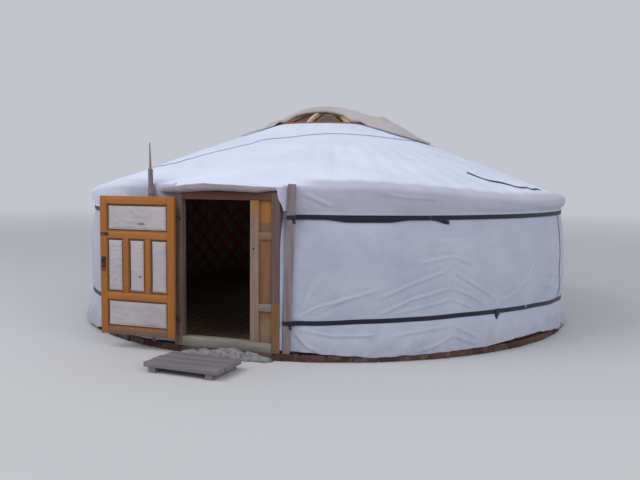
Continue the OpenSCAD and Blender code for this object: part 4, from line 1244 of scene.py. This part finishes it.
def bead(x0, x1, z0, z1, axis, inner):
    """A bead along one side of a pane, whose inner front edge is cut away to a slope."""
    obj = box_piece((x0, BEAD_FRONT, z0), (x1, BEAD_BACK, z1))
    for vertex in obj.data.vertices:
        if abs(vertex.co[axis] - inner) < 1e-4 and vertex.co.y < (BEAD_FRONT + BEAD_BACK) / 2:
            vertex.co.y += BEAD_SLOPE
    return obj


beads = []
for x0, x1, z0, z1 in panes:
    beads += [bead(x0, x0 + BEAD, z0, z1, 0, x0 + BEAD), bead(x1 - BEAD, x1, z0, z1, 0, x1 - BEAD),
              bead(x0, x1, z0, z0 + BEAD, 2, z0 + BEAD), bead(x0, x1, z1 - BEAD, z1, 2, z1 - BEAD)]
keep(join(beads), "pane_beads", SHADED_BEADING, "painted_wood", "door_leaf")
print("beads round", len(panes), "panes")

# %% [markdown]
# ## Leaf pads
#
# The inner face is padded with canvas against the cold. Each pad starts as a flat box a little
# smaller than its pane, is remeshed into small even faces, and is blown up by the cloth solver with
# no gravity. The solver's result is capped, so the pad stays in its pane, and its back stays flat
# on the boards. Then creases are pressed in: level ones in the narrow panes, slanting ones in the
# wide panes.
#
# %% Leaf pads
PAD_SWELL, PAD_FRAMES, PAD_VOXEL = 0.009, 16, 0.0075
PAD_EDGE, PAD_START, PAD_MARGIN = 0.0095, 0.0085, 0.004
PAD_FRONT, PAD_THICK, PAD_BELLY = 0.006, 0.009, 0.006
pad_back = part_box("leaf_pads")[1].y


def pad_crease(x, z, pane):
    """How deep the pad is creased at a place, in metres."""
    x0, x1, z0, z1 = pane
    if x1 - x0 < 0.3:
        level = z * 20 + 2.4 * ripple(x * 5, z * 4, x0)
        return 0.0042 * ridged(x * 1.2, level * 0.55, x0 * 7) ** 2 + 0.002 * ripple(x * 14, z * 34, x0)
    slant = ridged((x - x0) * 2.4 - z * 2.6, z * 5.0 + x * 4.2, z0 * 5) ** 2
    return 0.0052 * slant + 0.0028 * ripple(x * 10, z * 18, z0)


def blow_up(obj):
    """Runs the cloth solver on a pad and caps how far any point goes."""
    start = [vertex.co.copy() for vertex in obj.data.vertices]
    pick(obj)
    cloth = obj.modifiers.new("swelling", "CLOTH")
    cloth.settings.use_pressure = True
    cloth.settings.uniform_pressure_force = 4
    cloth.settings.effector_weights.gravity = 0
    for frame_number in range(1, PAD_FRAMES + 1):
        scene.frame_set(frame_number)
    bpy.ops.object.modifier_apply(modifier=cloth.name)
    scene.frame_set(1)
    for vertex, was in zip(obj.data.vertices, start):
        move = vertex.co - was
        if move.length > PAD_SWELL:
            vertex.co = was + move.normalized() * PAD_SWELL


def press_into_pane(obj, pane):
    """Rounds a pad off at its edges, creases its front, and keeps it inside its pane."""
    x0, x1, z0, z1 = pane
    rim = BEAD + 0.0004
    for vertex in obj.data.vertices:
        co = vertex.co
        inside = min(co.x - x0, x1 - co.x, co.z - z0, z1 - co.z) - rim
        swell = 1 - math.exp(-max(0.0, inside) / 0.014)
        if co.y < pad_back - PAD_FRONT:
            co.y = min(co.y, pad_back - PAD_THICK - PAD_BELLY * swell) - pad_crease(co.x, co.z, pane) * swell
        co.x = min(max(co.x, x0 + rim - PAD_MARGIN), x1 - rim + PAD_MARGIN)
        co.z = min(max(co.z, z0 + rim - PAD_MARGIN), z1 - rim + PAD_MARGIN)
        co.y = min(max(co.y, leaf_low.y - PAD_MARGIN), pad_back - 0.0004)


for index, pane in enumerate(panes):
    x0, x1, z0, z1 = pane
    back = pad_back - 0.001
    pad = box_piece((x0 + PAD_EDGE, back - PAD_START, z0 + PAD_EDGE), (x1 - PAD_EDGE, back, z1 - PAD_EDGE))
    add_modifier(pad, "REMESH", mode="VOXEL", voxel_size=PAD_VOXEL)
    blow_up(pad)
    add_modifier(pad, "SUBSURF", levels=1, render_levels=1)
    press_into_pane(pad, pane)
    shade_round(pad)
    keep(pad, f"leaf_pad_{index + 1}", PAD_CANVAS, "pad_canvas", "door_leaf", ["leaf_pads"])
    print(pad.name, len(pad.data.polygons), "faces")

# %% [markdown]
# ## Boards, floor and step
#
# Each board is a timber of its own. The floor's planks are cut off at the round wall, and the
# doorstep's are loose grey planks, a little uneven.
#
# %% Floor boards
BOARD_WIDE, BOARD_GAP, SHORTEST_HALF = 0.142, 0.004, 0.2
floor_low, floor_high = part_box("floor_boards")
floor_r = floor_high.x
count = int(2 * floor_r / BOARD_WIDE)
boards = []
for i in range(count):
    x0 = -floor_r + i * (2 * floor_r / count)
    x1 = x0 + 2 * floor_r / count - BOARD_GAP
    half = math.sqrt(max(0.0, floor_r ** 2 - max(abs(x0), abs(x1)) ** 2))
    if half < SHORTEST_HALF:
        continue
    top = floor_high.z - 0.001 * random.random()
    boards.append(timber((x0, -half, floor_low.z + 0.001), (x1, half, top), 0.002, 0.0006, 0.5))
print("floor boards", len(boards))
keep(join(boards), "floor_planks", FLOOR_WOOD, "floor_wood", stands_for=["floor_boards"])

# %% Doorstep planks
STEP_W, STEP_D, STEP_GAP, STEP_LOW, STEP_HIGH = 0.790, 0.455, 0.006, 0.0502, 0.095
step_turn = Matrix.Translation((-0.028, -3.690, 0)) @ Matrix.Rotation(math.radians(-3.2), 4, "Z")
plank_deep = (STEP_D - 2 * STEP_GAP) / 3
planks = []
for i, trim in enumerate((0.012, 0.0, 0.018)):
    y = -STEP_D / 2 + i * (plank_deep + STEP_GAP)
    low, high = (-STEP_W / 2 + trim, y, STEP_LOW), (STEP_W / 2 - trim * 0.6, y + plank_deep, STEP_HIGH)
    plank = timber(low, high, 0.006, 0.0025, 0.06)
    for vertex in plank.data.vertices:
        vertex.co.z = max(vertex.co.z, STEP_LOW)
    plank.data.transform(step_turn)
    planks.append(plank)
print("doorstep planks", len(planks))
keep(join(planks), "doorstep_planks_worn", STEP_WOOD, "grey_wood", stands_for=["doorstep_planks"])

# %% [markdown]
# ## Bricks and plaster under the wall
#
# The wall stands on a course of bricks. One brick is modelled, roughed up and copied round the
# ring, each copy turned, moved in or out, shortened a little and roughed up again. The joints between
# them show a bed of dark mortar, which is one strip of grid swept round the ring along a short profile
# and welded shut. In front of the sill lie lumps of old plaster, which are spheres with their skin
# pushed about by noise and their feet cut flat.
#
# %% Brick course
BRICK_HALF, BRICK_FOOT, BRICK_TOP = (0.1225, 0.083), 0.001, 0.0695
BRICK_COUNT, RING_R = 76, 3.049

brick = box_piece((-BRICK_HALF[0], -BRICK_HALF[1], BRICK_FOOT), (*BRICK_HALF, BRICK_TOP))
long_cuts(brick, 0, 5)
warp(brick, 0.005, 16.0, inside=(1, 1, 0.3))
ease_edges(brick, 0.007)
course = []
for i in range(BRICK_COUNT):
    copy = brick.copy()
    copy.data = brick.data.copy()
    scene.collection.objects.link(copy)
    angle = 360 / BRICK_COUNT * (i + 0.5)
    slip, swing, short = random.uniform(-0.010, 0.002), random.uniform(-1.8, 1.8), random.uniform(0.93, 1.0)
    for vertex in copy.data.vertices:
        vertex.co += noise.noise_vector(vertex.co * 14 + Vector((i * 7.0, 0, 0))) * 0.004
        vertex.co.z = min(max(vertex.co.z, 0.0008), 0.0698)
    copy.data.transform(Matrix.Translation(round_point(angle, RING_R + slip, 0)) @ Matrix.Rotation(
        math.radians(angle + swing), 4, "Z") @ Matrix.Diagonal((short, 1, 1, 1)))
    course.append(copy)
bpy.data.objects.remove(brick)
shade_round(keep(join(course), "brick_course", BRICK, "brick", stands_for=["brick_footing"]), 0.7)

BED_SHAPE = [(3.119, 0.001), (3.119, 0.058), (2.972, 0.058), (2.972, 0.001)]
mortar_bed = grid_piece(240, 3, lambda u, v: round_point(360 * u, *BED_SHAPE[round(3 * v)]))
add_modifier(mortar_bed, "WELD", merge_threshold=0.0005)
pick(mortar_bed)
bpy.ops.object.shade_flat()
keep(mortar_bed, "mortar_bed", MORTAR, "brick")
print("bricks", BRICK_COUNT)

# %% Plaster lumps
LUMPS = [(-0.34, -3.135, 0.110, 0.050), (-0.18, -3.140, 0.120, 0.072), (-0.02, -3.150, 0.120, 0.090),
         (0.13, -3.150, 0.130, 0.100), (0.28, -3.140, 0.115, 0.078), (0.42, -3.130, 0.090, 0.050)]
LUMP_DEEP, LUMP_WIDEN = 0.062, 1.15
lumps = []
for i, (x, y, half, tall) in enumerate(LUMPS):
    lump = added(bpy.ops.mesh.primitive_ico_sphere_add, subdivisions=4, radius=1)
    for vertex in lump.data.vertices:
        broad = noise.noise(vertex.co * 1.4 + Vector((i * 9.0, 0, 0)))
        fine = noise.noise(vertex.co * 4.6 + Vector((0, i * 5.0, 0)))
        skin = vertex.co * (1 + 0.30 * broad + 0.13 * fine)
        vertex.co = (x + skin.x * half * LUMP_WIDEN, y + skin.y * LUMP_DEEP, max(0.0012, skin.z * tall))
    lumps.append(lump)
shade_round(keep(join(lumps), "sill_plaster", PLASTER, "brick"))
print("lumps", len(LUMPS))

# %% [markdown]
# ## Bands and their knots
#
# The bands are flat webbing. Each follows the wall, rising and dipping as it does in life, and its
# end is wound round the batten by the door and tied. A strip of grid is wrapped round the tent and
# thickened. A knot is a few turns of webbing round the timber, a lump and a short tail.
#
# %% Bands
WEB_THICK, TIMBER_R, BANDS_FROM, BANDS_TO = 0.003, 3.128, 12.0, 343.9
UPPER_LINE = [(11.5, 1.402), (15.0, 1.404), (22.0, 1.402), (45.0, 1.400), (90.0, 1.398), (180.0, 1.402),
              (300.0, 1.400), (344.0, 1.398)]


def band_strip(start, stop, height, width, radius, twist=0.0):
    """A strip of webbing between two angles at height(angle)."""

    def place(u, v):
        angle = start + (stop - start) * u
        lean = twist * ripple(angle * 0.15, 0, 1.0) * (v - 0.5)
        return round_point(angle, radius(angle) + lean, height(angle) + (v - 0.5) * width)

    return grid_piece(max(8, int(abs(stop - start) / 0.9)), 4, place, WEB_THICK, 1)


def to_timbers(angle, radius):
    """Radius of a band that comes off the wall to reach the batten and the pole."""
    near_batten, near_pole = 1 - smooth((angle - 12.0) / 2.6), smooth((angle - 341.6) / 2.2)
    return radius + (near_batten + near_pole) * (TIMBER_R - radius)


def second_turn(angle):
    """Height of the upper band's second turn, which sags below the first."""
    sag = 0.024 * smooth((angle - 18.5) / 4.5) * (1 - smooth((angle - 30.0) / 4.5))
    return along_list(UPPER_LINE, angle) - 0.003 - sag


upper = [band_strip(BANDS_FROM, BANDS_TO, lambda a: along_list(UPPER_LINE, a), 0.044,
                    lambda a: to_timbers(a, 3.0578)),
         band_strip(12.2, 38.5, second_turn, 0.042, lambda a: to_timbers(a, 3.0615) + 0.0012),
         band_strip(38.0, 42.2, lambda a: 1.396 - 0.045 * smooth((a - 38.6) / 3.6), 0.040, lambda a: 3.0620)]
keep(join(upper), "upper_webbing", WEBBING, "dark_webbing", stands_for=["upper_band"])
lower = [band_strip(BANDS_FROM, BANDS_TO, lambda a: along_list(LOWER_BAND, a), 0.046,
                    lambda a: to_timbers(a, 3.0906), twist=0.004),
         band_strip(53.3, 54.7, lambda a: 0.385, 0.115, lambda a: 3.0942 + 0.004 * math.sin(a * 4))]
keep(join(lower), "lower_webbing", WEBBING, "dark_webbing", stands_for=["lower_band"])
print("bands", len(upper), "+", len(lower), "strips")

# %% [markdown]
# ## Batten and pole
#
# A rough board stands against the canvas where the wall cover ends, and the bands are knotted
# round it. On the other side of the door a round pole does the same, with cord wound round its
# top and a thin rod above. Both lean a little, so each is made upright and then turned.
#
# %% Batten
BATTEN_LONG, BATTEN_HALF, BATTEN_DEEP, BATTEN_FOOT, POLE_FOOT = 1.647, 0.0375, 0.022, 0.0716, 0.0713
LEAN_OUT = math.radians(0.331)


def leaning(angle, radius, foot, sideways):
    """Takes what is made upright to its place on the wall, where it leans."""
    return Matrix.Rotation(math.radians(angle), 4, "Z") @ Matrix.Translation((0, -radius, foot)) @ \
        Matrix.Rotation(math.radians(sideways), 4, "Y") @ Matrix.Rotation(LEAN_OUT, 4, "X")


batten_turn = leaning(11.76, WALL_R + 0.001, BATTEN_FOOT, 1.75)
pole_turn = leaning(-15.9, WALL_R + 0.029, POLE_FOOT, -1.1)
batten = timber((-BATTEN_HALF, -BATTEN_DEEP, 0), (BATTEN_HALF, 0, BATTEN_LONG), 0.003, 0.0022, 0.05)
bore(batten, (-0.008, -BATTEN_DEEP / 2, 1.232), 0.010, 20)
batten.data.transform(batten_turn)
keep(batten, "cover_edge_batten", BATTEN_WOOD, "grey_wood", stands_for=["edge_batten"])
print("batten", len(batten.data.polygons), "faces")

# %% Pole
POLE_R, POLE_LONG, ROD_LONG = 0.0245, 1.785, 0.268
CORD_TURNS, CORD_FROM, CORD_RISE, CORD_TILT = 8, 1.532, 0.0083, 0.06

pole = added(bpy.ops.mesh.primitive_cylinder_add, vertices=24, radius=POLE_R, depth=POLE_LONG,
             location=(0, 0, POLE_LONG / 2))
settle(pole)
long_cuts(pole, 2, 26)
for vertex in pole.data.vertices:
    swell = 1 + 0.05 * ripple(0, 0, vertex.co.z * 3)
    vertex.co.x *= swell
    vertex.co.y *= swell
rod = added(bpy.ops.mesh.primitive_cone_add, vertices=16, radius1=0.012, radius2=0.005, depth=ROD_LONG,
            location=(0, 0, POLE_LONG + ROD_LONG / 2))
settle(rod)
pole = join([pole, rod])
pole.data.transform(pole_turn)
shade_round(keep(pole, "cover_edge_pole", STAKE_WOOD, "grey_wood", stands_for=["edge_pole"]), 0.7)

cord_rings = []
for i in range(CORD_TURNS):
    tilt = (random.uniform(-CORD_TILT, CORD_TILT), random.uniform(-CORD_TILT, CORD_TILT), 0)
    ring = added(bpy.ops.mesh.primitive_torus_add, major_radius=0.0285, minor_radius=0.0043, major_segments=28,
                 minor_segments=8, location=(0, 0, CORD_FROM + i * CORD_RISE), rotation=tilt)
    settle(ring)
    cord_rings.append(ring)
whipping = join(cord_rings)
whipping.data.transform(pole_turn)
keep(whipping, "pole_whipping", ROLL_FELT, "felt")
print("pole with", CORD_TURNS, "turns of cord")

# %% [markdown]
# ## Knots and the upright tie
#
# A knot is two turns of webbing round the timber with a lump over them, and at the batten a short
# tail. Each is made round an upright timber that stands at the middle, and takes the same lean as
# the real one. The upright tie is a strip that joins the two bands at the right of the tent, and it
# reads the wall's own shape, so it lies on the creases.
#
# %% Knots and the upright tie
TAIL_WIDE, TIE_AT, TIE_WIDE = 0.024, 82, 0.26


def wound_strap(half_wide, half_thick, z, width, tilt, seed):
    """One turn of webbing round a timber with a squared section, made in the timber's own frame."""

    def place(u, v):
        spin = 2 * math.pi * u
        c, s = math.cos(spin), math.sin(spin)
        x = half_wide * math.copysign(abs(c) ** 0.35, c)
        y = half_thick * math.copysign(abs(s) ** 0.35, s)
        gather = 1 - 0.25 * abs(math.sin(spin * 0.5 + seed))
        return Vector((x, y, z + (v - 0.5) * width * gather + tilt * x))

    return grid_piece(56, 6, place, WEB_THICK, 1)


def knot_lump(x, y, z, size, seed):
    """A tight lump of webbing."""
    lump = added(bpy.ops.mesh.primitive_uv_sphere_add, segments=32, ring_count=18, radius=1)
    for vertex in lump.data.vertices:
        skin = 1 + 0.28 * noise.noise(vertex.co * 1.6 + Vector((seed, 0, 0)))
        skin += 0.10 * math.sin(vertex.co.z * 9 + vertex.co.x * 4)
        vertex.co = Vector((x, y, z)) + vertex.co * Vector(size) * skin
    shade_round(lump)
    return lump


def knot_tail(x, y, z, long, lean):
    """A short end of webbing that hangs from a knot."""

    def place(u, v):
        down = (1 - v) * long
        return Vector((x + (u - 0.5) * TAIL_WIDE + lean * down, y - 0.004 * math.sin(v * 5) - 0.003 * math.sin(u * 3),
                       z - down))

    return grid_piece(4, 18, place, WEB_THICK, 0)


def on_timber(parts, turn, forward=0.0):
    """Takes parts of a knot to their timber, a little in front of its axis."""
    for part in parts:
        part.data.transform(turn @ Matrix.Translation((0, -forward, 0)))
    return parts


knots = []
for z, seed in ((1.402 - BATTEN_FOOT, 1.0), (0.374 - BATTEN_FOOT, 4.0)):
    knots += on_timber([wound_strap(0.0400, 0.0150, z, 0.040, 0.10, seed),
                        wound_strap(0.0415, 0.0175, z - 0.004, 0.034, -0.22, seed + 2)], batten_turn, 0.011)
    knots += on_timber([knot_lump(0.014, -0.020, z, (0.024, 0.012, 0.021), seed),
                        knot_tail(0.024, -0.022, z - 0.008, 0.052, 0.35)], batten_turn, 0.007)
for z, seed in ((1.398 - POLE_FOOT, 7.0), (0.394 - POLE_FOOT, 11.0)):
    knots += on_timber([wound_strap(0.0275, 0.0275, z, 0.038, 0.14, seed),
                        wound_strap(0.0295, 0.0295, z - 0.006, 0.030, -0.20, seed + 1),
                        knot_lump(-0.010, -0.030, z, (0.020, 0.011, 0.020), seed)], pole_turn)
print("knots", len(knots), "parts")
keep(join(knots), "band_knots", WEBBING, "dark_webbing")


def tie_point(u, v):
    z = mixed(0.372, 1.392, v)
    share = (z - hem_at(TIE_AT)) / (WALL_TOP - hem_at(TIE_AT))
    cloth = max(wall_point(TIE_AT + d, share).xy.length for d in (-0.15, 0, 0.15))
    return round_point(TIE_AT + (u - 0.5) * TIE_WIDE, cloth + 0.002, z)


tie = keep(grid_piece(3, 90, tie_point, WEB_THICK, 1), "upright_tie", WEBBING, "dark_webbing")
print("upright tie", len(tie.data.polygons), "faces")

# %% [markdown]
# ## Finishes on the CAD solids that stay
#
# The lattice, the poles, the crown and the ironwork have the right shape already. They keep their
# CAD meshes and only get their finish.
#
# %% CAD nodes that keep their meshes
STAYING = {
    "floor_joists": FLOOR_WOOD, "doorstep_bearers": STEP_WOOD, "leaf_boards": LEAF_UPRIGHT, "leaf_ironwork": IRON,
    "hinge_hooks": IRON, "door_poles": POLE_PAINT, "crown_ring": CROWN_PAINT, "crown_arches": ARCH_WOOD,
}
STAYING.update({f"lattice_{i}": LATH_PAINT for i in range(1, 6)})
STAYING.update({f"roof_poles_{i}": POLE_PAINT for i in range(1, 5)})
for node, finish in STAYING.items():
    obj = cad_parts[node]
    obj.data.materials.clear()
    obj.data.materials.append(finish)
print("CAD nodes with new finishes", len(STAYING))

# %% [markdown]
# ## Closing measurements
#
# The last step measures the dressed tent's box and sets it beside the CAD box.
#
# %% Sizes and finish
low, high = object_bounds()
{"cad": [list(cad_low), list(cad_high)], "visual": [list(low), list(high)]}
print("visual box", [round(v, 3) for v in low], [round(v, 3) for v in high])
